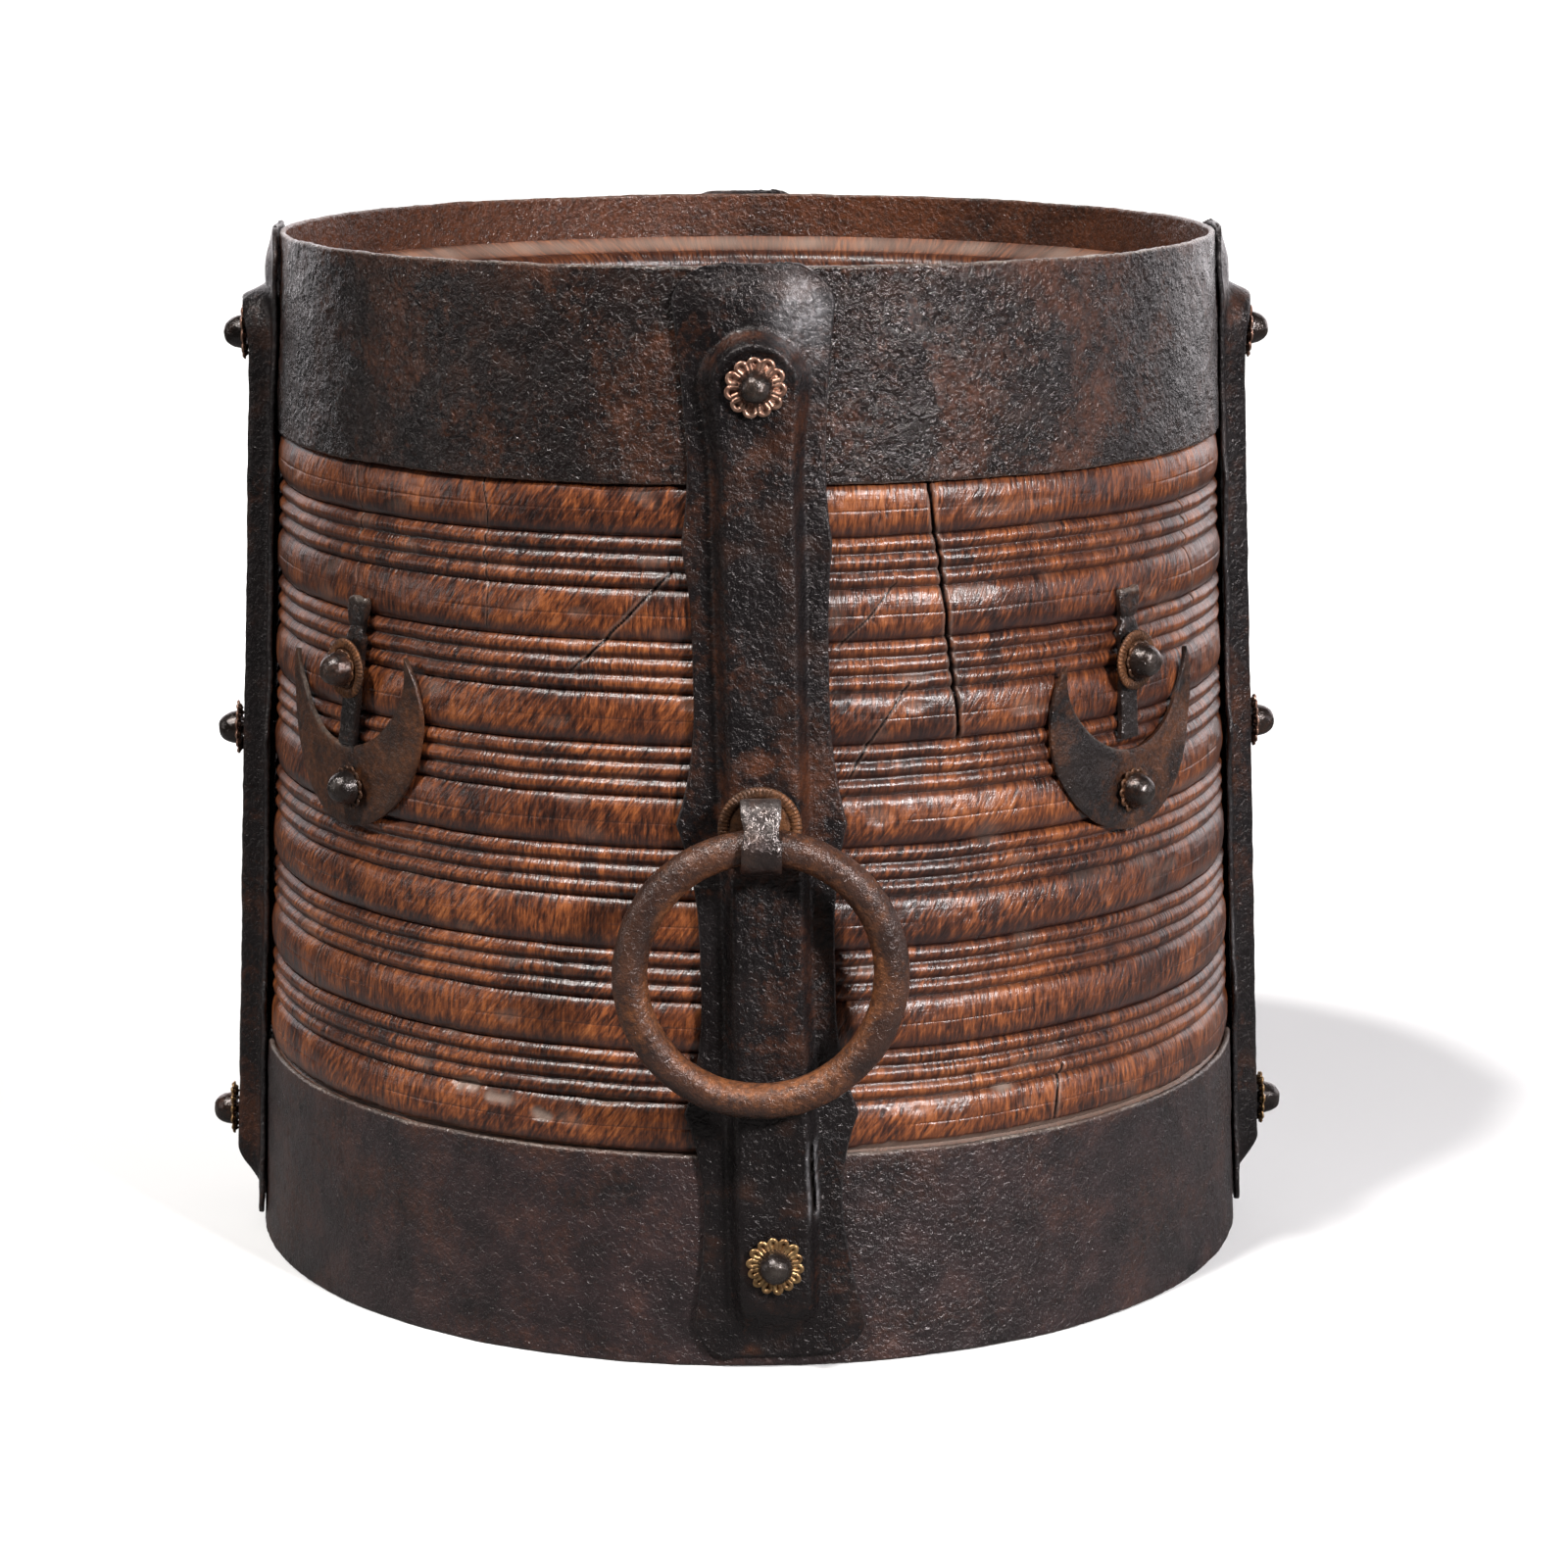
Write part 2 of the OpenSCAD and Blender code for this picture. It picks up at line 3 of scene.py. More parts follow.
import bpy
import numpy as np
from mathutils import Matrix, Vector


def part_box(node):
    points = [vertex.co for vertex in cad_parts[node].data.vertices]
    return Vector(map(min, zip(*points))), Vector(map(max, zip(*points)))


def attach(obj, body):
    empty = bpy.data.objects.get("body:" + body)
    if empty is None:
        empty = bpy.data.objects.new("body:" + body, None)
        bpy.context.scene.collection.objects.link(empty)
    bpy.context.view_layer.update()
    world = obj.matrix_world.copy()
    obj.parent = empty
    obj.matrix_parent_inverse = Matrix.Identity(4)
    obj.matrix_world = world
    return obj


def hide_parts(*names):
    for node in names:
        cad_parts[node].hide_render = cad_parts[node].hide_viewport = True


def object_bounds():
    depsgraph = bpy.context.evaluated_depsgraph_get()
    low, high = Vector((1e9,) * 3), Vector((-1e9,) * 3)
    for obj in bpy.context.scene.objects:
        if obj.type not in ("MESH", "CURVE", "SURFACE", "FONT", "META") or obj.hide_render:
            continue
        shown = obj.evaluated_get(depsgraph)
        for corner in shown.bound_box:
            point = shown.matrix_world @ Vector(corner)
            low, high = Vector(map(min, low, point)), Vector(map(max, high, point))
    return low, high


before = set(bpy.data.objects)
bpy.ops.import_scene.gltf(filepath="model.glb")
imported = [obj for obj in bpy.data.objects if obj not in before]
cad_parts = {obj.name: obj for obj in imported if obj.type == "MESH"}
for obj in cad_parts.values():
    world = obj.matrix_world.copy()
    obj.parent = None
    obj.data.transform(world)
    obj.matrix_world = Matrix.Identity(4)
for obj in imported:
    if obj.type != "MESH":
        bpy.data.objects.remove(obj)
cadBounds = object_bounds()

# Shapes are worked out in millimetres and scaled when a mesh is made.
mm = 1000.0
rimLow, rimHigh = [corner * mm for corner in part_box("rim_hoop")]
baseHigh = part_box("base_hoop")[1] * mm
drumHeight = rimHigh.z
baseRadius = baseHigh.x
bodyLow, bodyHigh = baseHigh.z, rimLow.z          # the wood shows between these heights
taper = (baseRadius - rimHigh.x) / bodyHigh
boxLow, boxHigh = [np.array(list(corner)) * mm for corner in cadBounds]


def hoopRadius(z):
    return baseRadius - taper * z


def ease(t):
    t = np.clip(t, 0, 1)
    return t * t * (3 - 2 * t)


def hump(distance, half):
    return np.exp(-(distance / half) ** 2)


def aslant():
    # a fixed turn, so that the cells of the noise don't line up with the drum
    a, b = 0.61, 0.87
    first = np.array([[math.cos(a), -math.sin(a), 0], [math.sin(a), math.cos(a), 0], [0, 0, 1]])
    second = np.array([[1, 0, 0], [0, math.cos(b), -math.sin(b)], [0, math.sin(b), math.cos(b)]])
    return first @ second


latticeTurn = aslant()
noiseRadius = 190             # marks round the drum are laid out on a cylinder of this radius


def lumps(points, size, seed):
    # soft random swells from -1 to 1, about as wide as size
    scaled = np.asarray(points, float) @ latticeTurn / size + seed * 17.31
    cell = np.floor(scaled).astype(np.int64)
    part = scaled - cell
    part = part * part * (3 - 2 * part)
    total = 0
    for corner in range(8):
        bits = np.array([corner & 1, corner >> 1 & 1, corner >> 2 & 1])
        key = ((cell + bits) * np.array([73856093, 19349663, 83492791])).sum(-1) + seed * 7919
        key = ((key ^ (key >> 13)) * 1274126177) & 0x7FFFFFFF
        key = (key ^ (key >> 15)) & 0xFFFF
        total = total + (key / 32767.5 - 1) * np.prod(np.where(bits == 1, part, 1 - part), -1)
    return total


def swells(points, seed, *waves):
    # several sizes of lumps together, each given as its height and its width
    return sum(height * lumps(points, size, seed + k) for k, (height, size) in enumerate(waves))


def quads(rows, cols, aroundRows=False, aroundCols=False):
    r = np.arange(rows if aroundRows else rows - 1)[:, None]
    c = np.arange(cols if aroundCols else cols - 1)[None]
    nextRow, nextCol = (r + 1) % rows, (c + 1) % cols
    corners = [r * cols + c, r * cols + nextCol, nextRow * cols + nextCol, nextRow * cols + c]
    return np.stack([k + 0 * r + 0 * c for k in corners], -1).reshape(-1, 4)


def gridNormals(grid, aroundCols=False):
    if aroundCols:
        across = np.roll(grid, -1, 1) - np.roll(grid, 1, 1)
    else:
        across = np.gradient(grid, axis=1)
    normal = np.cross(across, np.gradient(grid, axis=0))
    return normal / np.maximum(np.linalg.norm(normal, axis=-1, keepdims=True), 1e-9)


def slab(front, thickness, marks=None, aroundCols=False, soften=0.5):
    # a closed plate: a front face, a back face behind it and rounded edges between them
    rows, cols = front.shape[:2]
    normal = gridNormals(front, aroundCols)
    back = front - normal * np.asarray(thickness)[..., None]
    front = front.copy()
    for step, share in ((0, 1.0), (1, 0.35)):     # rounds the edges of the iron
        for edge in (step, -1 - step):
            front[edge] -= normal[edge] * soften * share
            back[edge] += normal[edge] * soften * share * 0.8
            if not aroundCols:
                front[:, edge] -= normal[:, edge] * soften * share
                back[:, edge] += normal[:, edge] * soften * share * 0.8
    count = rows * cols
    face = quads(rows, cols, False, aroundCols)
    rim = []
    ring = np.arange(cols if aroundCols else cols - 1)
    after = (ring + 1) % cols
    rim.append(np.stack([after, ring, ring + count, after + count], -1))
    last = (rows - 1) * cols
    rim.append(np.stack([ring + last, after + last, after + last + count, ring + last + count], -1))
    if not aroundCols:
        side = np.arange(rows - 1) * cols
        rim.append(np.stack([side, side + cols, side + cols + count, side + count], -1))
        side = side + cols - 1
        rim.append(np.stack([side + cols, side, side + count, side + cols + count], -1))
    points = np.concatenate([front.reshape(-1, 3), back.reshape(-1, 3)])
    faces = np.concatenate([face, face[:, ::-1] + count, *rim])
    both = {}
    for key, value in (marks or {}).items():
        value = np.broadcast_to(value, (rows, cols)).reshape(-1)
        both[key] = np.concatenate([value, value])
    return points, faces, both


def closedGrid(grid, marks=None):
    # a surface that closes on itself both ways
    rows, cols = grid.shape[:2]
    marks = {key: np.broadcast_to(value, (rows, cols)).reshape(-1) for key, value in (marks or {}).items()}
    return grid.reshape(-1, 3), quads(rows, cols, True, True), marks


def tube(grid, marks=None):
    # a round bar with closed ends
    rows, cols = grid.shape[:2]
    marks = {key: np.broadcast_to(value, (rows, cols)).reshape(-1) for key, value in (marks or {}).items()}
    points = np.concatenate([grid.reshape(-1, 3), grid[0].mean(0)[None], grid[-1].mean(0)[None]])
    ring = np.arange(cols)
    after = (ring + 1) % cols
    last = (rows - 1) * cols
    first = [(int(b), int(a), rows * cols) for a, b in zip(ring, after)]
    final = [(int(a + last), int(b + last), rows * cols + 1) for a, b in zip(ring, after)]
    faces = quads(rows, cols, False, True).tolist() + first + final
    marks = {key: np.concatenate([value, value[:1], value[-1:]]) for key, value in marks.items()}
    return points, faces, marks


def place(shape, matrix):
    points, faces, marks = shape
    return points @ matrix[:3, :3].T + matrix[:3, 3], faces, marks


def outward(turn, radius, x, z):
    # A piece modelled with its face towards +Z and its top towards +Y stands on the drum, facing out.
    c, s = math.cos(turn), math.sin(turn)
    side, up, out = np.array([c, s, 0]), np.array([0, 0, 1.0]), np.array([s, -c, 0])
    matrix = np.eye(4)
    matrix[:3, 0], matrix[:3, 1], matrix[:3, 2] = side, up, out
    matrix[:3, 3] = side * x + out * radius + up * z
    return matrix


def roundZ(turn, points):
    # turns points about the drum's axis, from the front to the right
    c, s = math.cos(turn), math.sin(turn)
    x, y = points[..., 0], points[..., 1]
    return np.stack([c * x - s * y, s * x + c * y, points[..., 2]], -1)


def turnShape(turn, shape):
    points, faces, marks = shape
    return roundZ(turn, points), faces, marks


def onDrum(turns, radius, z):
    return np.stack(np.broadcast_arrays(radius * np.sin(turns), -radius * np.cos(turns), z), -1)


def bent(x, z, lift):
    # a flat pattern bent round the front of the drum, lifted off the line of the hoops
    out = hoopRadius(z) + lift
    return np.stack([x, -np.sqrt(out ** 2 - x ** 2), z], -1)


markNames = ("groove", "crack", "wearAndPaintedGlint", "rust", "under")


def addPiece(name, nodes, finish, shapes, body="drum", sharp=50):
    points, faces, marks, base = [], [], {key: [] for key in markNames}, 0
    for shapePoints, shapeFaces, shapeMarks in shapes:
        faces += (np.asarray(shapeFaces) + base).tolist() if isinstance(shapeFaces, np.ndarray) else [
            tuple(k + base for k in face) for face in shapeFaces]
        for key in markNames:
            marks[key].append(np.broadcast_to(shapeMarks.get(key, 0.0), (len(shapePoints),)))
        points.append(shapePoints)
        base += len(shapePoints)
    mesh = bpy.data.meshes.new(name)
    spots = np.clip(np.concatenate(points), boxLow + 0.01, boxHigh - 0.01)     # nothing stands out of the box
    mesh.from_pydata((spots / mm).tolist(), [], faces)
    for key in markNames:
        mark = mesh.attributes.new(key, "FLOAT", "POINT")
        mark.data.foreach_set("value", np.concatenate(marks[key]).astype(np.float32))
    mesh.polygons.foreach_set("use_smooth", [True] * len(mesh.polygons))
    mesh.set_sharp_from_angle(angle=math.radians(sharp))
    mesh.materials.append(finish)
    piece = bpy.data.objects.new(name, mesh)
    bpy.context.scene.collection.objects.link(piece)
    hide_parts(*nodes)
    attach(piece, body)
    return piece


def startFinish(name):
    finish = bpy.data.materials.new(name)
    finish.use_nodes = True
    tree = finish.node_tree
    shader = tree.nodes["Principled BSDF"]
    return finish, tree, shader


def add(tree, kind, settings=None, inputs=None):
    made = tree.nodes.new(kind)
    for key, value in (settings or {}).items():
        setattr(made, key, value)
    for key, value in (inputs or {}).items():
        if isinstance(value, bpy.types.NodeSocket):
            tree.links.new(value, made.inputs[key])
        else:
            made.inputs[key].default_value = value
    return made


def feed(tree, shader, sockets):
    for key, value in sockets.items():
        if isinstance(value, bpy.types.NodeSocket):
            tree.links.new(value, shader.inputs[key])
        else:
            shader.inputs[key].default_value = value


def objectPlace(tree):
    return add(tree, "ShaderNodeTexCoord").outputs["Object"]


def unrolled(tree):
    # Metres round the drum, across its surface, and up it; the join lies under the back strap.
    split = add(tree, "ShaderNodeSeparateXYZ", None, {0: objectPlace(tree)})
    back = add(tree, "ShaderNodeMath", {"operation": "MULTIPLY"}, {0: split.outputs[1], 1: -1.0})
    turn = add(tree, "ShaderNodeMath", {"operation": "ARCTAN2"}, {0: split.outputs[0], 1: back.outputs[0]})
    arc = add(tree, "ShaderNodeMath", {"operation": "MULTIPLY"}, {0: turn.outputs[0], 1: 0.19})
    return add(tree, "ShaderNodeCombineXYZ", None, {0: arc.outputs[0], 2: split.outputs[2]}).outputs[0]


def stretched(tree, where, lengths, turn=0.0):
    # The pattern is drawn out by these lengths; turn leans it within the drum's surface.
    return add(tree, "ShaderNodeMapping", {"vector_type": "TEXTURE"},
               {"Vector": where, "Scale": lengths, "Rotation": (0, turn, 0)}).outputs[0]


def noise(tree, where, scale, detail=3.0, rough=0.55, distort=0.0):
    return add(tree, "ShaderNodeTexNoise", None, {"Vector": where, "Scale": scale, "Detail": detail,
               "Roughness": rough, "Distortion": distort}).outputs["Fac"]


def ramp(tree, value, stops, curve="LINEAR"):
    made = add(tree, "ShaderNodeValToRGB", None, {"Fac": value})
    made.color_ramp.interpolation = curve
    elements = made.color_ramp.elements
    while len(elements) < len(stops):
        elements.new(0.5)
    for element, (position, colour) in zip(elements, stops):
        element.position = position
        element.color = (*colour, 1) if isinstance(colour, tuple) else (colour, colour, colour, 1)
    return made.outputs["Color"]


def mix(tree, share, low, high, blend="MIX"):
    made = add(tree, "ShaderNodeMix", {"data_type": "RGBA", "blend_type": blend})
    for index, value in ((0, share), (6, low), (7, high)):
        if isinstance(value, bpy.types.NodeSocket):
            tree.links.new(value, made.inputs[index])
        elif isinstance(value, tuple):
            made.inputs[index].default_value = (*value, 1)
        else:
            made.inputs[index].default_value = value
    return made.outputs[2]


def calc(tree, operation, first, second=0.0, clamp=False):
    return add(tree, "ShaderNodeMath", {"operation": operation, "use_clamp": clamp},
               {0: first, 1: second}).outputs[0]


def weighted(tree, *parts):
    terms = [calc(tree, "MULTIPLY", value, share) for value, share in parts]
    total = terms[0]
    for term in terms[1:]:
        total = calc(tree, "ADD", total, term)
    return total


def mark(tree, name):
    return add(tree, "ShaderNodeAttribute", {"attribute_name": name}).outputs["Fac"]


def bump(tree, height, distance, normal=None, strength=1.0):
    made = add(tree, "ShaderNodeBump", None, {"Height": height, "Distance": distance, "Strength": strength})
    if normal is not None:
        tree.links.new(normal, made.inputs["Normal"])
    return made.outputs[0]


def ironFinish(name, look):
    finish, tree, shader = startFinish(name)
    where = objectPlace(tree)
    blotch = noise(tree, where, look["blotchScale"], 5, 0.6, 0.4)
    speck = noise(tree, where, look["speckScale"], 4, 0.7)
    rustField = weighted(tree, (blotch, 0.62), (speck, 0.38), (mark(tree, "rust"), 0.2))
    edge = look["rustEdge"]
    rust = ramp(tree, rustField, [(edge - 0.06, 0.0), (edge + 0.15, 1.0)])
    tone = noise(tree, where, 55, 4, 0.6)
    base = ramp(tree, tone, [(0.3, look["dark"]), (0.55, look["mid"]), (0.75, look["brown"])])
    stain = ramp(tree, noise(tree, where, 420, 3, 0.7), [(0.3, look["rustDark"]), (0.62, look["rust"])])
    colour = mix(tree, calc(tree, "MULTIPLY", rust, look["rustShare"]), base, stain)
    colour = mix(tree, calc(tree, "MULTIPLY", mark(tree, "groove"), 0.85), colour, (0.008, 0.006, 0.005))
    pebble = ramp(tree, noise(tree, where, look["pebbleScale"], 3, 0.6, 0.5), [(0.38, 0.0), (0.64, 1.0)])
    # the high spots take the bright colour most, both where the iron is worn and where a highlight is painted
    raisedShare = calc(tree, "ADD", calc(tree, "MULTIPLY", pebble, 0.75), 0.35)
    colour = mix(tree, calc(tree, "MULTIPLY", mark(tree, "wearAndPaintedGlint"), raisedShare, True), colour, look["bright"])
    gloss = noise(tree, where, 160, 3, 0.6)
    rough = calc(tree, "ADD", calc(tree, "MULTIPLY", gloss, 0.3), look["rough"] - 0.15)
    rough = calc(tree, "ADD", rough, calc(tree, "MULTIPLY", rust, 0.16), True)
    grit = noise(tree, where, look["pebbleScale"] * 3.6, 2, 0.6)
    normal = bump(tree, pebble, look["pebble"] / mm)
    normal = bump(tree, grit, look["grit"] / mm, normal)
    feed(tree, shader, {
        "Base Color": colour, "Metallic": look["metallic"], "Specular IOR Level": look["specular"],
        "Specular Tint": (1, 0.91, 0.89, 1), "Coat Weight": look["wax"], "Coat Roughness": look["waxRough"],
        "Roughness": rough, "Normal": normal, "Coat Normal": normal})
    return finish


hoopLook = {
    "dark": (0.0034, 0.0028, 0.0031), "mid": (0.0108, 0.0064, 0.0057), "brown": (0.04, 0.0172, 0.0108),
    "rust": (0.16, 0.046, 0.014), "rustDark": (0.05, 0.018, 0.009), "bright": (0.42, 0.36, 0.31),
    "blotchScale": 26, "speckScale": 330, "rustEdge": 0.555, "rustShare": 0.72,
    "metallic": 0.1, "specular": 0.45, "wax": 0.42, "waxRough": 0.09, "rough": 0.25,
    # how many pebbles to the metre, and how high they and the grit stand, in millimetres
    "pebbleScale": 500, "pebble": 0.32, "grit": 0.12,
}
strapLook = dict(hoopLook, waxRough=0.12,
                 dark=(0.0044, 0.0038, 0.0043), mid=(0.0095, 0.0072, 0.0074), rustEdge=0.585,
                 bright=(0.36, 0.35, 0.36), specular=0.4, wax=0.1, rough=0.3, rustShare=0.6, pebble=0.2)
baseLook = dict(hoopLook,
                dark=(0.008, 0.0062, 0.0068), mid=(0.027, 0.0165, 0.0172), brown=(0.056, 0.029, 0.026),
                rustShare=0.4, rough=0.3, pebble=0.26, specular=0.6, wax=0.25, waxRough=0.13)
plateLook = dict(hoopLook, waxRough=0.12,
                 dark=(0.009, 0.0068, 0.0065), mid=(0.03, 0.0158, 0.0108), brown=(0.07, 0.033, 0.018),
                 rust=(0.2, 0.066, 0.02), rustEdge=0.54, rustShare=0.7, rough=0.38, pebble=0.12, wax=0.1)
darkPlateLook = dict(plateLook,
                     dark=(0.006, 0.005, 0.005), mid=(0.015, 0.011, 0.01), brown=(0.036, 0.022, 0.017),
                     rustEdge=0.575, rough=0.3, pebble=0.15, wax=0.2)
ringLook = dict(plateLook,
                dark=(0.015, 0.0105, 0.0098), mid=(0.058, 0.027, 0.018), brown=(0.125, 0.055, 0.032),
                rust=(0.3, 0.105, 0.035), rustShare=0.8, pebbleScale=560, pebble=0.2, wax=0.2, rough=0.3)
nailLook = dict(hoopLook, dark=(0.009, 0.007, 0.0065), mid=(0.024, 0.016, 0.013), brown=(0.06, 0.034, 0.024),
                rustEdge=0.6, metallic=0.5, specular=0.8, wax=0.3, waxRough=0.16, rough=0.27,
                pebbleScale=620, pebble=0.09, grit=0.06)
eyeLook = dict(nailLook, dark=(0.016, 0.012, 0.0115), mid=(0.046, 0.031, 0.028), brown=(0.1, 0.058, 0.042),
               rustEdge=0.57, metallic=0.6, rough=0.3, pebbleScale=420, pebble=0.2, bright=(0.4, 0.36, 0.34))
washerLook = dict(plateLook, dark=(0.03, 0.016, 0.011), mid=(0.085, 0.042, 0.023), brown=(0.17, 0.083, 0.04),
                  rust=(0.3, 0.118, 0.042), rustEdge=0.5, metallic=0.45, pebble=0.1)


def copperFinish(name, look):
    finish, tree, shader = startFinish(name)
    where = objectPlace(tree)
    shade = noise(tree, where, 260, 3, 0.6)
    atFoot = calc(tree, "LESS_THAN", add(tree, "ShaderNodeSeparateXYZ", None, {0: where}).outputs[2], 0.1)
    copper = ramp(tree, shade, [(0.3, look["low"]), (0.7, look["high"])])
    brass = ramp(tree, shade, [(0.3, look["brassLow"]), (0.7, look["brassHigh"])])
    tone = mix(tree, atFoot, copper, brass)
    tarnish = ramp(tree, noise(tree, where, 420, 3, 0.65), [(0.5, 0.0), (0.7, 1.0)])
    colour = mix(tree, calc(tree, "MULTIPLY", tarnish, 0.55), tone, look["tarnish"])
    colour = mix(tree, mark(tree, "groove"), colour, look["dirt"])
    rough = calc(tree, "ADD", calc(tree, "MULTIPLY", noise(tree, where, 500), 0.3), 0.2)
    rough = calc(tree, "ADD", rough, calc(tree, "MULTIPLY", mark(tree, "groove"), 0.3), True)
    feed(tree, shader, {"Base Color": colour, "Metallic": 0.85, "Roughness": rough,
                        "Normal": bump(tree, noise(tree, where, 900, 2), 0.08 / mm)})
    return finish


copperLook = {"low": (0.27, 0.125, 0.085), "high": (0.6, 0.37, 0.27), "tarnish": (0.13, 0.06, 0.04),
              "brassLow": (0.24, 0.12, 0.05), "brassHigh": (0.6, 0.39, 0.18), "dirt": (0.022, 0.011, 0.009)}


def turnedWoodFinish(name, look):
    finish, tree, shader = startFinish(name)
    where = unrolled(tree)
    grain = noise(tree, stretched(tree, where, (1, 1, 9)), 560, 4, 0.62)
    upright = noise(tree, stretched(tree, where, (1, 1, 4.5), 0.1), 720, 3, 0.62, 0.3)
    leaning = noise(tree, stretched(tree, where, (1, 1, 5), look["fleckLean"]), 700, 3, 0.62, 0.3)
    region = ramp(tree, noise(tree, where, 15, 2, 0.5), [(0.42, 0.0), (0.54, 1.0)])
    fleck = mix(tree, region, upright, leaning)
    figure = noise(tree, stretched(tree, where, (1.6, 1, 3.5)), 95, 4, 0.6, 0.6)
    patch = noise(tree, stretched(tree, where, (2.2, 1, 1)), 28, 3, 0.6, 0.5)
    turned = noise(tree, stretched(tree, where, (20, 1, 1)), 560, 3, 0.6)
    field = weighted(tree, (grain, 0.2), (fleck, 0.38), (figure, 0.22), (patch, 0.2))
    colour = ramp(tree, field, look["tones"])
    # under carries painted shade: the undersides of the bands and beads are darkened with it, and their
    # flecks are flattened
    under = mark(tree, "under")
    colour = mix(tree, calc(tree, "MULTIPLY", under, look["paintedShadeShare"]), colour, look["paintedShadeTone"])
    # the groove mark darkens the grooves, and the nosing too, where it is painted shade
    dark = calc(tree, "MULTIPLY", mark(tree, "groove"), look["grooveShare"])
    colour = mix(tree, dark, colour, look["grooveTone"])
    bare = ramp(tree, patch, [(0.3, look["bareDark"]), (0.7, look["bare"])])
    colour = mix(tree, mark(tree, "wearAndPaintedGlint"), colour, bare)
    split = ramp(tree, mark(tree, "crack"), [(0.16, 0.0), (0.5, 1.0)])
    colour = mix(tree, split, colour, (0.006, 0.003, 0.0025))
    rough = calc(tree, "ADD", calc(tree, "MULTIPLY", fleck, 0.35), look["rough"] - 0.17)
    rough = calc(tree, "ADD", rough, calc(tree, "MULTIPLY", mark(tree, "wearAndPaintedGlint"), 0.3), True)
    depth = calc(tree, "SUBTRACT", 1.0, calc(tree, "MULTIPLY", under, 0.75))
    normal = bump(tree, calc(tree, "MULTIPLY", fleck, depth), look["fleckDepth"] / mm)
    normal = bump(tree, calc(tree, "MULTIPLY", grain, depth), look["grainDepth"] / mm, normal)
    normal = bump(tree, turned, look["turnedDepth"] / mm, normal)
    feed(tree, shader, {"Base Color": colour, "Specular IOR Level": 0.5, "Coat Weight": look["wax"],
                        "Coat Roughness": look["waxRough"], "Roughness": rough, "Normal": normal,
                        "Coat Normal": normal})
    return finish


woodLook = {
    "tones": [(0.40, (0.012, 0.005, 0.004)), (0.455, (0.04, 0.0125, 0.007)), (0.505, (0.12, 0.033, 0.012)),
              (0.56, (0.27, 0.078, 0.022)), (0.65, (0.45, 0.16, 0.05))],
    # the colour and share of the painted shade on the undersides
    "paintedShadeTone": (0.034, 0.0165, 0.016), "paintedShadeShare": 0.66,
    "grooveTone": (0.012, 0.005, 0.0045), "grooveShare": 0.8, "bare": (0.34, 0.25, 0.2),
    "bareDark": (0.19, 0.125, 0.098), "fleckLean": 0.6, "wax": 0.3, "waxRough": 0.23, "rough": 0.34,
    "fleckDepth": 0.5, "grainDepth": 0.16, "turnedDepth": 0.16,
}


def boardFinish(name, look):
    finish, tree, shader = startFinish(name)
    where = objectPlace(tree)
    grain = noise(tree, stretched(tree, where, (1, 16, 1)), 420, 5, 0.65, 0.3)
    stain = noise(tree, where, 18, 4, 0.6, 0.6)
    colour = ramp(tree, weighted(tree, (grain, 0.55), (stain, 0.45)), look["tones"])
    colour = mix(tree, mark(tree, "groove"), colour, (0.01, 0.006, 0.004))
    rough = calc(tree, "ADD", calc(tree, "MULTIPLY", grain, 0.3), 0.5)
    feed(tree, shader, {"Base Color": colour, "Roughness": rough, "Normal": bump(tree, grain, 0.5 / mm)})
    return finish


boardLook = {"tones": [(0.36, (0.02, 0.009, 0.005)), (0.5, (0.07, 0.03, 0.014)), (0.64, (0.17, 0.08, 0.038))]}


wall = {
    "thickness": 20, "hoopIron": 2.55, "rimDrop": 18, "bevelWidth": 12, "bevelDrop": 5, "nosing": 6.0,
    "boardTop": 24, "boardStep": 7, "bands": 7, "beads": 3, "beadHeight": 2.1, "crown": 1.7, "set": 1.0,
    # how far the lines wander, the bands swell, and knocks and nibbles go in
    "wander": (0.55, 0.22), "swell": (0.3, 0.16), "knock": 0.55, "nibble": 0.16,
    "scored": 0.18, "footBreak": 1.5,
    "frontSpacing": 1.15, "backSpacing": 2.0, "crackSpacing": 0.5, "midRadius": 188,
    # degrees to the right of the front and height of each crack's points, its half width and its depth
    "cracks": [
        ([(19.0, 318), (19.4, 304), (20.6, 280), (21.3, 258), (22.1, 236), (22.4, 222)], 0.62, 3.2),
        ([(-10.3, 287), (-13.6, 276), (-17.5, 263), (-22.9, 248)], 0.4, 1.1),
        ([(15.0, 283), (11.6, 271), (7.4, 258)], 0.26, 0.6),
        ([(16.4, 247), (12.7, 231), (8.6, 211)], 0.36, 1.0),
        ([(-32.8, 318), (-32.0, 306), (-32.8, 291), (-31.9, 278), (-32.1, 262)], 0.24, 0.5),
        ([(-53.4, 318), (-52.4, 300), (-53.5, 285), (-52.7, 272)], 0.3, 0.7),
        ([(59.6, 306), (62.1, 280), (64.2, 255)], 0.4, 0.9),
        ([(-60.2, 136), (-62.4, 113), (-63.4, 90)], 0.4, 1.0),
        ([(35.4, 100), (34.6, 88), (34.0, 78)], 0.5, 1.3),
        ([(118, 316), (119.5, 290), (119, 262), (121, 240)], 0.6, 2.2),
        ([(-141, 170), (-139.5, 140), (-140.5, 104)], 0.55, 1.6),
        ([(152, 150), (150.5, 118), (151, 82)], 0.5, 1.2),
        ([(-112, 312), (-113, 286), (-112.4, 268)], 0.45, 1.0),
    ],
    # degrees, height, half width, half height and depth of chipped places
    "chips": [(-34.5, 96, 7, 3.4, 1.3), (-30, 93, 8, 2.4, 1.1), (-24.5, 88.5, 7, 2.6, 1.0),
              (-17, 96, 8, 1.6, 0.8),
              (-57, 250, 3, 2.4, 0.8), (28, 96, 5, 1.8, 0.7), (96, 92, 6, 3, 1.2), (-128, 200, 7, 2, 0.8),
              (160, 96, 8, 3, 1.2)],
}


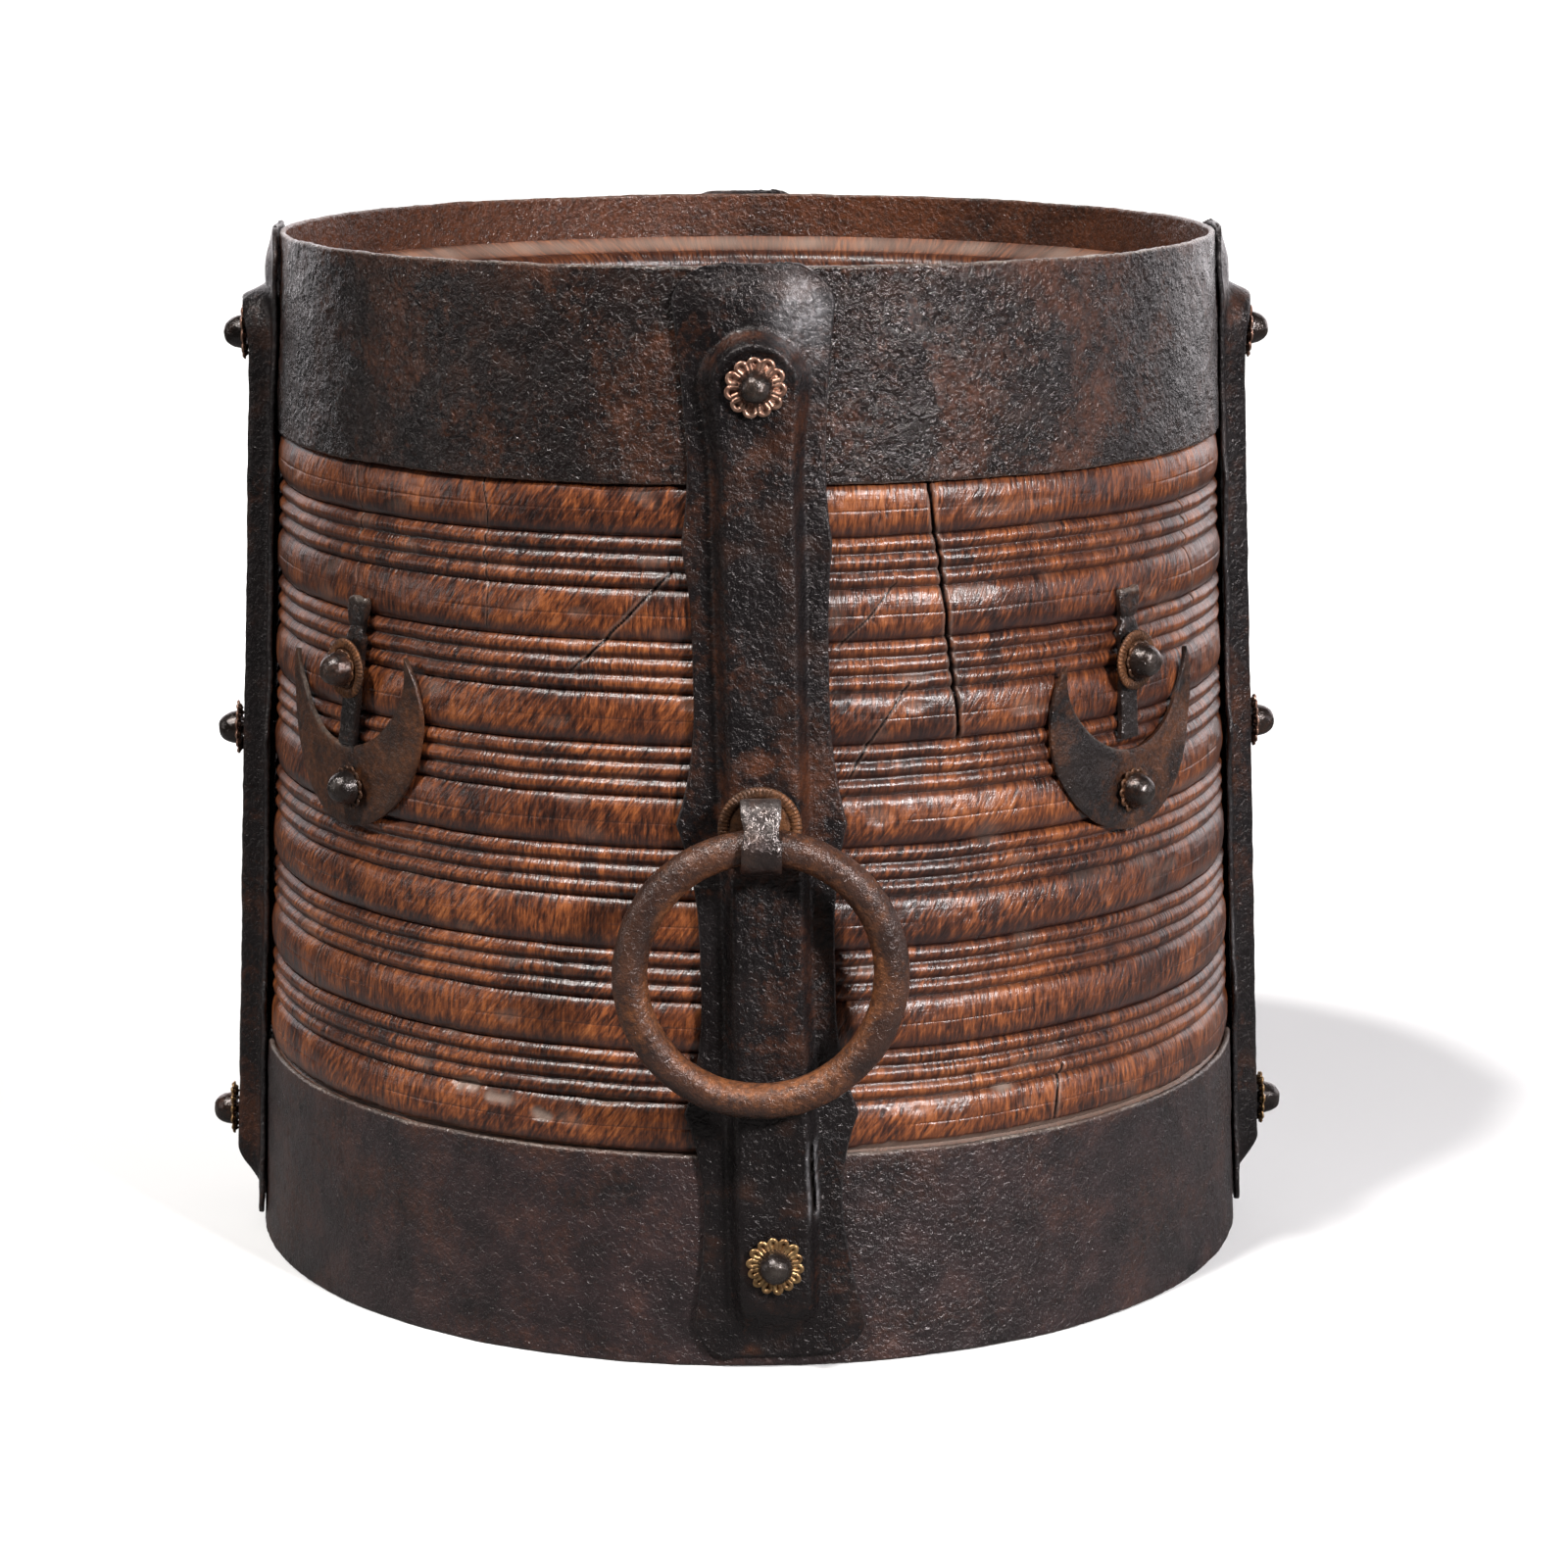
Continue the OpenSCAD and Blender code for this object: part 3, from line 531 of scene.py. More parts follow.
def turnedRows():
    # Each row is a height, an offset from the highest wood, and how far it is groove, painted underside
    # shade, middle line.
    rows = []
    band = (bodyHigh - bodyLow) / (2 * wall["bands"] - 1)
    bead = band / wall["beads"]
    nearMiddle = np.array([-0.045, -0.02, 0, 0.02, 0.045])
    across = np.concatenate([np.linspace(-1, -0.1, 10), nearMiddle, np.linspace(0.1, 1, 10)])
    for k in range(wall["bands"]):
        start = bodyLow + 2 * k * band
        for u in across:
            line = math.exp(-(u / 0.032) ** 2)
            offset = -wall["crown"] * abs(u) ** 2.6 - 0.9 * abs(u) ** 10
            # painted shade: the lower part of each band is darkened
            paintedUnderShade = ease((-u - 0.4) / 0.45)
            rows.append((start + band * (u + 1) / 2, offset, 0.75 * abs(u) ** 12, paintedUnderShade, line))
        if k == wall["bands"] - 1:
            break
        for b in range(wall["beads"]):
            for t in (np.arange(10) + 0.5) / 10:
                drop = 1 - math.sin(math.pi * t) ** 0.75
                offset = -wall["crown"] * 0.3 - wall["beadHeight"] * drop
                # painted shade on the lower part of each bead
                paintedUnderShade = 0.7 * ease((0.38 - t) / 0.25)
                rows.append((start + band + bead * (b + t), offset, 0.9 * drop ** 1.6, paintedUnderShade, 0))
    return np.array(rows)


def wallTurns():
    fine = np.linspace(-math.pi, math.pi, 24001)
    spacing = np.where(np.cos(fine) > -0.1, wall["frontSpacing"], wall["backSpacing"])
    for points, *_ in wall["cracks"]:
        turns = [math.radians(p[0]) for p in points]
        near = (fine > min(turns) - 0.012) & (fine < max(turns) + 0.012)
        spacing = np.where(near, wall["crackSpacing"], spacing)
    count = np.concatenate([[0], np.cumsum(np.diff(fine) * wall["midRadius"] / spacing[1:])])
    total = int(count[-1])
    return np.interp(np.linspace(0, count[-1], total, endpoint=False), count, fine)


def buildWall():
    look = wall
    turned = turnedRows()
    iron, thick = look["hoopIron"], look["thickness"]
    topZ = drumHeight - look["rimDrop"]
    topR = hoopRadius(topZ) - iron
    lipZ = topZ - look["bevelDrop"]
    lipR = topR - look["bevelWidth"]
    boardR = hoopRadius(look["boardTop"]) - iron - thick + look["boardStep"]
    under = [(z, hoopRadius(z) - iron) for z in (0.6, 20, 40, 60, 72, 76)]
    outer = [(row[0], hoopRadius(row[0]) - look["set"] + row[1]) for row in turned]
    hidden = [(z, hoopRadius(z) - iron) for z in (bodyHigh + 0.6, bodyHigh + 4, 340, 360, topZ - 2)]
    bevel = [(topZ - look["bevelDrop"] * t, topR - look["bevelWidth"] * t) for t in np.linspace(0, 1, 19)]
    nosing, bends = look["nosing"], np.radians(np.arange(8, 91, 8))
    nose = [(lipZ - nosing + nosing * math.cos(a), lipR - nosing * math.sin(a)) for a in bends]
    inside = [(z, hoopRadius(z) - iron - thick) for z in np.arange(lipZ - 7, look["boardTop"], -4.5)]
    foot = [(look["boardTop"], hoopRadius(look["boardTop"]) - iron - thick), (look["boardTop"], boardR),
            (0, boardR), (0, hoopRadius(0) - iron - 0.6)]
    profile = np.array(under + outer + hidden + bevel + nose + inside + foot)
    z0, r0 = profile[:, 0], profile[:, 1]
    turns = wallTurns()
    rows, cols = len(profile), len(turns)
    z = np.repeat(z0[:, None], cols, 1)
    radius = np.repeat(r0[:, None], cols, 1)
    shown = np.zeros(rows)
    turnedPart = slice(len(under), len(under) + len(outer))
    shown[turnedPart] = 1
    groove, paintedUnderShade, line = np.zeros((rows, cols)), np.zeros(rows), np.zeros(rows)
    groove[turnedPart] = turned[:, 2][:, None]
    paintedUnderShade[turnedPart], line[turnedPart] = turned[:, 3], turned[:, 4]
    crack, wearAndPaintedGlint = np.zeros((rows, cols)), np.zeros((rows, cols))
    spot = onDrum(turns, noiseRadius, z)
    # the middle line is worn away in places
    scored = line[:, None] * ease((lumps(spot * [1, 1, 2.5], 45, 19) + 0.45) / 0.6)
    radius = radius - look["scored"] * scored
    groove = groove + look["scored"] * scored
    # the turner's hand: lines that wander, bands that swell, and knocks taken since
    wide, fine = look["wander"]
    wander = wide * lumps(spot * [1, 1, 0.3], 55, 3) + fine * lumps(spot * [1, 1, 0.6], 14, 4)
    z = z + wander * (shown * ease((z0 - bodyLow - 1) / 6) * ease((bodyHigh - 1 - z0) / 6))[:, None]
    wide, fine = look["swell"]
    swell = wide * lumps(spot * [0.4, 0.4, 1], 34, 5) + fine * lumps(spot * [0.7, 0.7, 1.6], 9, 6)
    knock = ease((lumps(spot * [0.5, 0.5, 1], 7, 7) - 0.45) / 0.5)
    nibble = look["nibble"] * lumps(spot, 2.6, 8)
    radius = radius + (swell - look["knock"] * knock + nibble) * shown[:, None]
    wearAndPaintedGlint = np.maximum(wearAndPaintedGlint, 0.22 * knock * shown[:, None])
    for points, half, depth in look["cracks"]:
        heights = np.array([p[1] for p in points][::-1], float)
        angles = np.radians([p[0] for p in points][::-1])
        line = np.interp(z0, heights, angles)
        jitter = lumps(np.stack([z0, z0 * 0, z0 * 0], -1), 5, 11) * 0.0035
        slope = np.gradient(angles, heights).mean() * noiseRadius
        away = (turns[None] - (line + jitter)[:, None]) * noiseRadius / math.hypot(1, slope)
        ends = ease((z0 - heights[0]) / 7) * ease((heights[-1] - z0 + 3) / 5) * shown
        cut = hump(away, half) * ends[:, None]
        radius -= depth * cut
        crack = np.maximum(crack, cut)
        lip = hump(np.abs(away) - 2.4 * half, half) * ends[:, None]
        wearAndPaintedGlint = np.maximum(wearAndPaintedGlint, 0.3 * lip)
    for angle, height, halfWide, halfHigh, depth in look["chips"]:
        away = np.hypot((turns[None] - math.radians(angle)) * noiseRadius / halfWide, (z - height) / halfHigh)
        bite = ease(1.25 - away + 0.5 * lumps(spot, 3.0, 12)) * shown[:, None]
        radius -= depth * bite
        wearAndPaintedGlint = np.maximum(wearAndPaintedGlint, bite)
    # the lowest band's foot is broken away from the base hoop, most of all on the right of the front
    edge = onDrum(turns, noiseRadius, 0)
    height = bodyLow + 0.2 + 1.0 * ease((lumps(edge, 23, 14) + 0.2) / 0.8) + 0.7 * lumps(edge, 5, 15)
    height = height + 1.5 * ease((turns - 0.12) / 0.1) * ease((1.5 - turns) / 0.5)
    gone = ease((height[None] - z) / 0.7 + 0.5) * shown[:, None]
    radius -= look["footBreak"] * gone
    wearAndPaintedGlint = np.maximum(wearAndPaintedGlint, 0.8 * gone)
    # inside: scraper marks, a worn bevel, and a nosing darkened with painted shade
    lining = (1 - shown)[:, None] * (r0 < topR - 0.5)[:, None]
    radius = radius + lining * (0.3 * lumps(spot * [1, 1, 0.25], 16, 16) + 0.1 * lumps(spot, 5, 17))
    onBevel = np.zeros(rows)
    first = len(under) + len(outer) + len(hidden)
    onBevel[first:first + len(bevel)] = np.sin(np.linspace(0.15, math.pi - 0.1, len(bevel))) ** 0.6
    wearAndPaintedGlint = np.maximum(wearAndPaintedGlint, onBevel[:, None] * (0.64 + 0.2 * lumps(spot, 9, 18)))
    groove[first + len(bevel):first + len(bevel) + len(nose)] = 0.7      # the nosing is darkened with the groove colour as painted shade
    grid = onDrum(turns, radius, z)
    # under carries the painted shade on the undersides of the bands and beads
    marks = {"groove": groove, "crack": crack, "wearAndPaintedGlint": wearAndPaintedGlint, "under": paintedUnderShade[:, None] * (1 - wearAndPaintedGlint)}
    finish = turnedWoodFinish("turned_wood", woodLook)
    addPiece("drum_wall_turned", ["drum_wall"], finish, [closedGrid(grid, marks)], sharp=70)
    print("wall", grid.shape)


board = {"planks": 4, "rings": 46, "columns": 240}


def buildBoard():
    low, high = [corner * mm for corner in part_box("bottom_board")]
    radii = np.linspace(0.4, high.x, board["rings"])
    turns = np.linspace(0, 2 * math.pi, board["columns"], endpoint=False)
    r, a = np.meshgrid(radii, turns, indexing="ij")
    x, y = r * np.cos(a), r * np.sin(a)
    width = 2 * high.x / board["planks"]
    seam = hump(np.abs((x / width + board["planks"] / 2) % 1 - 0.5) * width - width / 2, 1.6)
    spot = np.stack([x, y * 0.1, 0 * x], -1)
    top = high.z - 0.9 * seam - 0.25 - 0.25 * lumps(spot, 6, 21)
    front = np.stack([x, y, top], -1)
    thick = np.full(x.shape, high.z - low.z - 1.4)
    shape = slab(front, thick, {"groove": seam}, True, 0.5)
    addPiece("bottom_board_planed", ["bottom_board"], boardFinish("board_wood", boardLook), [shape])


hoops = {
    "rim": {"node": "rim_hoop", "low": bodyHigh, "high": drumHeight, "hammer": 0.34, "pits": 0.0, "seed": 31},
    "base": {"node": "base_hoop", "low": 0.0, "high": bodyLow, "hammer": 0.22, "pits": 0.35, "seed": 41},
}
hoopIron = {"thickness": 2.3, "columns": 900, "edgeWave": 0.35}


def buildHoop(look, finish):
    seed = look["seed"]
    turns = np.linspace(-math.pi, math.pi, hoopIron["columns"], endpoint=False)
    height = look["high"] - look["low"]
    inner = np.linspace(1.4, height - 1.4, 58)
    up = np.concatenate([[0, 0.35, 0.8], inner, [height - 0.8, height - 0.35, height]])
    z = look["low"] + np.repeat(up[:, None], len(turns), 1)
    spot = onDrum(turns, noiseRadius, z)
    edge = onDrum(turns, noiseRadius, 0)
    share = up[:, None] / height
    topWave = hoopIron["edgeWave"] * (lumps(edge, 26, seed) + 0.45 * lumps(edge, 5, seed + 1) - 0.4)
    lowWave = hoopIron["edgeWave"] * (lumps(edge, 21, seed + 2) + 0.45 * lumps(edge, 4, seed + 3) + 0.5)
    z = z + topWave * share ** 6 + lowWave * (1 - share) ** 6
    z = np.maximum(z, 0.0)
    dents = look["hammer"] * (lumps(spot * [1, 1, 0.7], 13, seed + 4) + 0.75 * lumps(spot, 5.0, seed + 5))
    ripple = 0.13 * lumps(spot, 2.4, seed + 6)
    pits = look["pits"] * ease((lumps(spot * [1.6, 1.6, 0.55], 3.2, seed + 7) - 0.6) / 0.25)
    radius = hoopRadius(z) - 0.25 + dents + ripple - pits
    grid = onDrum(turns, radius, z)
    top = ease((share - 1 + 1.0 / height) * height / 0.7)
    chafe = 0.5 + 0.5 * lumps(edge, 11, seed + 8)
    wearAndPaintedGlint = top * (0.25 + 0.75 * chafe[None] ** 2) * 0.8
    low = ease((1.0 / height - share) * height / 0.7) * 0.3 * chafe[None]
    marks = {"wearAndPaintedGlint": np.maximum(wearAndPaintedGlint, low), "rust": 0.35 * ease((share - 0.9) * 10), "groove": pits}
    shape = slab(grid, hoopIron["thickness"], marks, True, 0.75)
    half = len(shape[0]) // 2
    shape[2]["rust"][half:] = 0.9                  # the inside of the iron is rusty
    shape[2]["wearAndPaintedGlint"][half:] *= 0.5
    addPiece(look["node"] + "_hammered", [look["node"]], finish, [shape], sharp=60)


strap = {
    "low": 5.0, "high": 395.3, "iron": 2.2, "seat": 0.3, "waist": 24.0,
    # each tip's height, its reach, and how far it stands out on the left and the right
    "tips": [(298, 40, 2.9, 1.8), (199, 46, 7.2, 5.2), (94, 44, 7.0, 7.4)],
    "head": (384, 66, 4.4, 4.9), "foot": (16, 58, 5.2, 8.8), "headCorner": 15.0, "footCorner": 10.0,
    "fold": 13.6, "foldFlare": 2.6, "spine": 8.5, "domeZ": 354.5, "domeReach": 17.2,
    "footRamp": (15.0, 31.0), "rows": 430, "across": 74, "lean": math.radians(1.15), "middle": 200.25,
    # heights of the eye's washer, of the pillow in the head, of the tear's ends, and where a highlight is
    # painted on the head
    "washerZ": 206, "pillowZ": 352, "pillow": 2.5, "tear": (54, 88), "tearDepth": 4.2, "paintedGlint": (0.62, 378),
}


def leanAt(z):
    return -(z - strap["middle"]) * math.tan(strap["lean"])


def strapSide(z, side):
    look = strap
    half = np.full_like(z, look["waist"])
    for height, reach, left, right in look["tips"] + [look["head"], look["foot"]]:
        rise = (left, right)[side]
        inside = np.clip(1 - np.abs(z - height) / reach, 0, 1)
        sharp = 1.7 if height in (look["head"][0], look["foot"][0]) else 2.2
        half = half + rise * inside ** sharp
    for end, corner, sign in ((look["high"], look["headCorner"], 1), (look["low"], look["footCorner"], -1)):
        into = np.clip((sign * (z - end) + corner) / corner, 0, 1)
        half = half - corner * (1 - np.sqrt(np.clip(1 - into ** 2, 0, 1)))
    return half


def strapShape(turn, seed, leaning, torn):
    look = strap
    ends = 1 - np.cos(np.linspace(0, math.pi / 2, 12))
    low = look["low"] + look["footCorner"] * ends
    high = look["high"] - look["headCorner"] * ends[::-1]
    z = np.concatenate([low[:-1], np.linspace(low[-1], high[0], look["rows"]), high[1:]])
    left, right = strapSide(z, 0), strapSide(z, 1)
    u = np.linspace(-1, 1, look["across"])
    u = np.sort(np.concatenate([u, [-0.985, -0.96, 0.96, 0.985]]))
    x = np.where(u[None] < 0, u[None] * left[:, None], u[None] * right[:, None])
    zz = np.repeat(z[:, None], x.shape[1], 1)
    flare = look["foldFlare"] * hump(zz - look["domeZ"] - 2, 20)
    fold = look["fold"] + flare + 0.5 * lumps(np.stack([zz, 0 * zz, x * 0 + turn * 40], -1), 46, seed)
    above = np.maximum(zz - look["domeZ"], 0)
    reach = np.where(above > 0, np.hypot(x / fold, above / (look["domeReach"] * 0.92)), np.abs(x) / fold)
    body = 1 - ease((reach - 0.84) / 0.4)
    rampLow, rampHigh = look["footRamp"]
    sag = 2.5 * (1 - (x / fold) ** 2)              # the crease at the foot curves down in the middle
    body = body * ease((zz + sag - rampLow) / (rampHigh - rampLow)) ** 0.8
    height = look["spine"] * body
    lip = hump(reach - 0.86, 0.12) * ease((zz - look["domeZ"] + 8) / 14)
    height = height + 1.3 * lip                    # thumbed-up rim round the head nail
    height = height - 0.5 * hump(x, 7) * body * (1 - ease((zz - 330) / 20))
    sided = np.where(x < 0, x / left[:, None], x / right[:, None])
    curl = np.abs(sided) ** 6
    spot = np.stack([x, zz, np.full(x.shape, turn * 50.0)], -1)
    for tipZ, *_ in look["tips"]:
        height = height + 0.9 * curl * hump(zz - tipZ, 9)
    height = height + swells(spot, seed + 1, (0.28, 10), (0.14, 3.6), (0.05, 1.7))
    height = height + curl * 0.5 * lumps(spot, 17, seed + 4)
    bulge = (1 - ease((sided - 0.42) / 0.52)) * (1 - ease((-sided - 0.5) / 0.5))    # a pillowed head
    bulge = bulge * ease((zz - look["pillowZ"]) / 22) * ease((look["high"] - zz) / 14)
    height = height + look["pillow"] * bulge
    groove, wearAndPaintedGlint = np.zeros(x.shape), np.zeros(x.shape)
    rust = 0.55 * hump(reach - 1.16, 0.12) * body ** 0.2 * (reach > 0.9)
    rust = rust * (0.3 + 0.7 * ease((lumps(spot, 13, seed + 5) + 0.3) / 0.8))
    rust = rust + 0.6 * hump(reach - 1.05, 0.12) * ease((zz - look["domeZ"]) / 6)
    rust = rust * (0.3 + 0.7 * ease((6 - x) / 12))     # the rust gathers in the left fold
    if leaning:                                    # rust round the eye's washer
        stain = ease((lumps(spot, 7, seed + 8) + 0.5) / 0.8)
        rust = rust + 0.9 * hump(np.hypot(x, zz - look["washerZ"]) - 15, 9) * stain
    if torn:
        line = fold + 0.7 * lumps(spot * [0, 1, 0], 9, seed + 6)
        tearLow, tearHigh = look["tear"]
        reachTear = ease((zz - tearLow) / 8) * ease((tearHigh - zz) / 7)
        slit = hump(x - line - 0.4, 0.75) * reachTear
        height = height - look["tearDepth"] * slit + 0.7 * hump(np.abs(x - line - 0.4) - 1.7, 0.7) * reachTear
        groove = np.maximum(groove, slit)
        wearAndPaintedGlint = np.maximum(wearAndPaintedGlint, 0.7 * hump(np.abs(x - line - 0.4) - 1.5, 0.5) * reachTear)
    edge = 0.16 * ease((np.abs(sided) - 0.975) / 0.02)
    wearAndPaintedGlint = np.maximum(wearAndPaintedGlint, edge * (0.5 + 0.5 * lumps(spot, 19, seed + 7)))
    if leaning:                                    # a painted highlight at the head's right corner, laid into the wear mark
        paintedGlintSide, paintedGlintZ = look["paintedGlint"]
        paintedGlint = hump(sided - paintedGlintSide, 0.3) * hump(zz - paintedGlintZ, 13)
        # painted highlight: the head's right corner is given the bright colour
        wearAndPaintedGlint = np.maximum(wearAndPaintedGlint, 0.8 * paintedGlint * np.clip(0.7 + 0.6 * lumps(spot, 4, seed + 9), 0, 1))
        x = x + leanAt(zz)
    grid = bent(x, zz, look["seat"] + look["iron"] + height)
    marks = {"groove": groove, "wearAndPaintedGlint": wearAndPaintedGlint, "rust": np.clip(rust, 0, 1)}
    return turnShape(turn, slab(grid, look["iron"] * 0.9, marks, False, 0.7))


def buildStraps(finish):
    for k, (side, leaning) in enumerate((("front", True), ("right", False), ("back", True), ("left", False))):
        shape = strapShape(k * math.pi / 2, 50 + 10 * k, leaning, side == "front")
        addPiece("strap_" + side + "_forged", ["strap_" + side], finish, [shape], sharp=60)
    print("straps")


nail = {"headRadius": 6.5, "headHeight": 8.5, "shank": 2.3, "play": 0.4, "clench": 9.0,
        "short": 14, "low": 42.0, "high": 354.0}
# the top rosettes' and the lower ones' radius, petals and how pointed they are
rosette = {"radius": 11.0, "thickness": 1.0, "spine": 11.15, "top": (11.0, 11, 0.2), "lower": (10.6, 14, 0.8)}


def nailShape(length, clenched, seed, blunt=0.8):
    look = nail
    steps = np.radians(np.linspace(90, 0, 18))
    head = [(look["headRadius"] * math.cos(a) ** blunt, look["headHeight"] * math.sin(a)) for a in steps[1:]]
    rest = [(look["headRadius"] - 0.25, -0.35), (look["shank"] + look["play"], -0.4), (look["shank"], -1.2)]
    rest += [(look["shank"], -depth) for depth in np.linspace(3, length, 6)]
    profile = np.array([(0.25, look["headHeight"])] + head + rest)
    turns = np.linspace(0, 2 * math.pi, 48, endpoint=False)
    r, z = profile[:, :1], profile[:, 1:]
    flat = np.stack([r * np.cos(turns), r * np.sin(turns), z + 0 * turns], -1)
    dent = swells(flat, seed, (0.2, 3.4), (0.1, 1.5))
    normalish = flat - np.array([0, 0, 1.5])
    size = np.linalg.norm(normalish, axis=-1, keepdims=True)
    flat = flat + normalish / size * dent[..., None] * (z > -0.3)[..., None]
    flat[..., 2] = np.minimum(flat[..., 2], look["headHeight"])
    wearAndPaintedGlint = 0.16 * ease((z - 6.2) / 2) * (0.5 + 0.5 * lumps(flat, 2.0, seed + 2))
    shapes = [tube(flat[::-1], {"wearAndPaintedGlint": wearAndPaintedGlint[::-1], "rust": (0.5 * (z < 1.2) + 0 * turns)[::-1]})]
    if clenched:
        t = np.linspace(0, 1, 9)[:, None]
        size = look["shank"] * (1 - 0.55 * t)
        bend = np.stack([size * np.cos(turns[::3]), 0.4 - look["clench"] * t + 0 * turns[::3],
                         -length + look["shank"] + size * np.sin(turns[::3]) + 0.5 * t ** 2], -1)
        shapes.append(tube(bend, {"rust": np.full(bend.shape[:2], 0.6)}))
    return shapes


def petalShape(radius, petals, pointed, thickness, seed, lift=0.7):
    perPetal, rows = 18, 26
    count = petals * perPetal
    turns = np.linspace(0, 2 * math.pi, count, endpoint=False)
    w = ((turns * petals / (2 * math.pi)) % 1 - 0.5) * 2
    lobe = np.clip(1 - np.abs(w) ** 2.2, 0, 1) ** (0.5 if pointed < 0.5 else 0.8)
    petalOf = np.floor(turns * petals / (2 * math.pi)).astype(int)
    rng = np.random.default_rng(seed)
    own = rng.uniform(-1, 1, (2, petals))
    inner, core = nail["shank"] + nail["play"], radius * 0.66
    tip = radius * (1 + 0.035 * own[0][petalOf]) - 0.3
    outline = core + (tip - core) * lobe
    t = np.linspace(0, 1, rows)[:, None] ** 0.85
    r = inner + (outline[None] - inner) * t
    halfWide = math.pi * r / petals
    toSide = (1 - np.abs(w[None])) * halfWide
    toTip = outline[None] - r
    gap = np.minimum(toSide, toTip)
    rise = 0.62 * hump(gap - 0.62, 0.38) - 0.3 * ease((gap - 1.0) / 0.6) * (r > radius * 0.5)
    notch = 0.75 * hump(toSide, 0.3) * ease((r - radius * 0.45) / 1.5)
    pit = 0.6 * np.exp(-((r - radius * 0.8) ** 2 + (w[None] * halfWide) ** 2) / 0.8)
    z = thickness + rise - notch - pit + lift * ((r - inner) / radius) ** 2 * (1 + 0.5 * own[1][petalOf])
    grid = np.stack([r * np.cos(turns), r * np.sin(turns), z], -1)
    dirt = np.clip(0.9 * hump(toSide, 0.34) + pit * 1.7 + 0.7 * ease((radius * 0.62 - r) / 1.2), 0, 1)
    return slab(grid, np.full(z.shape, thickness * 0.7), {"groove": dirt}, True, 0.18)


def discShape(radius, thickness, teeth, seed):
    inner = nail["shank"] + nail["play"]
    perTooth = 7
    count = teeth * perTooth
    turns = np.linspace(0, 2 * math.pi, count, endpoint=False)
    r1 = np.array([inner, inner + 0.4, inner + 1.5, radius * 0.55, radius * 0.68, radius - 3.4, radius - 2.9,
                   radius - 2.5, radius - 2.1, radius - 1.5, radius - 0.9, radius - 0.45,
                   radius - 0.15, radius])
    r = np.repeat(r1[:, None], count, 1)
    milled = ease((r1 - radius + 2.9) / 0.6)[:, None]
    tooth = 0.5 + 0.5 * np.cos(teeth * turns)[None]
    z = thickness + milled * (0.75 * tooth - 0.3) - 0.35 * hump(r - radius + 3.1, 0.4)
    z = z - 0.5 * ease((r - radius + 0.5) / 0.5)
    r = r + 0.22 * milled * (tooth - 0.5) * ease((r1 - radius + 0.5) / 0.3)[:, None]
    grid = np.stack([r * np.cos(turns), r * np.sin(turns), z], -1)
    grid[..., 2] += 0.1 * lumps(grid, 4, seed)
    dirt = np.clip(milled * (1 - tooth) ** 0.7 + 0.6 * hump(r - radius + 3.1, 0.5), 0, 1)
    rust = 0.8 * ease((lumps(grid, 9, seed + 1) + 0.2) / 0.7)
    return slab(grid, np.full(z.shape, thickness * 0.85), {"groove": dirt, "rust": rust}, True, 0.15)


def spinned(shape, angle, matrix):
    c, s = math.cos(angle), math.sin(angle)
    points = shape[0] @ np.array([[c, s, 0], [-s, c, 0], [0, 0, 1.0]])
    return place((points, shape[1], shape[2]), matrix)


def strapNails():
    middle = 0.5 * (nail["low"] + nail["high"])
    ends = [(leanAt(z), z) for z in (nail["high"], nail["low"])]
    sides = [(0, z) for z in (nail["high"], middle, nail["low"])]
    return {"front": (0, ends), "right": (1, sides), "back": (2, ends), "left": (3, sides)}


def buildStrapNails(nailIron, copper):
    for side, (quarter, spots) in strapNails().items():
        turn = quarter * math.pi / 2
        heads, petals = [], []
        for k, (x, z) in enumerate(spots):
            seat = hoopRadius(z - rosette["radius"]) + rosette["spine"]
            seed = 200 + 20 * quarter + k
            length = seat + 1.3 - (hoopRadius(z) - wall["hoopIron"] - wall["thickness"]) + nail["shank"] + 0.6
            spot = outward(turn, seat + 1.3, x, z)
            heads += [place(shape, spot) for shape in nailShape(length, True, seed)]
            shape = petalShape(*rosette["top" if k == 0 else "lower"], rosette["thickness"], seed)
            petals.append(spinned(shape, 0.35 * k + 0.2, outward(turn, seat, x, z)))
        addPiece("nails_" + side + "_forged", ["nails_" + side], nailIron, heads)
        addPiece("rosettes_" + side + "_stamped", ["rosettes_" + side], copper, petals, sharp=80)
    print("strap nails")


crescent = {
    "outer": 42.5, "inner": 37.0, "rise": 24.0, "low": 183.5, "iron": 2.0, "seat": -0.9,
    "corners": (-52.0, 46.0, 128.0, 226.0), "aside": (-5.5, 2.5, -5.5, 2.5), "tilt": (5.0, -2.0, 5.0, -2.0),
    "nail": 198.5, "along": 150, "across": 26, "hornLift": 1.6, "rosette": 8.6,
}
crescentNodes = ("crescent_front_left", "crescent_front_right", "crescent_back_right", "crescent_back_left")
post = {"height": 56.0, "width": 11.0, "iron": 3.0, "lift": 2.5, "disc": 10.5, "discIron": 1.3, "teeth": 42,
        "small": 7.6, "discShare": 0.52,
        "lean": (7.0, 1.0, 7.0, 1.0), "aside": (-1.5, 1.0, -1.5, 1.0), "drop": (-2.0, 2.0, -2.0, 2.0),
        "rows": 110, "across": 20}
postNodes = ("post_front_left", "post_front_right", "post_back_right", "post_back_left")


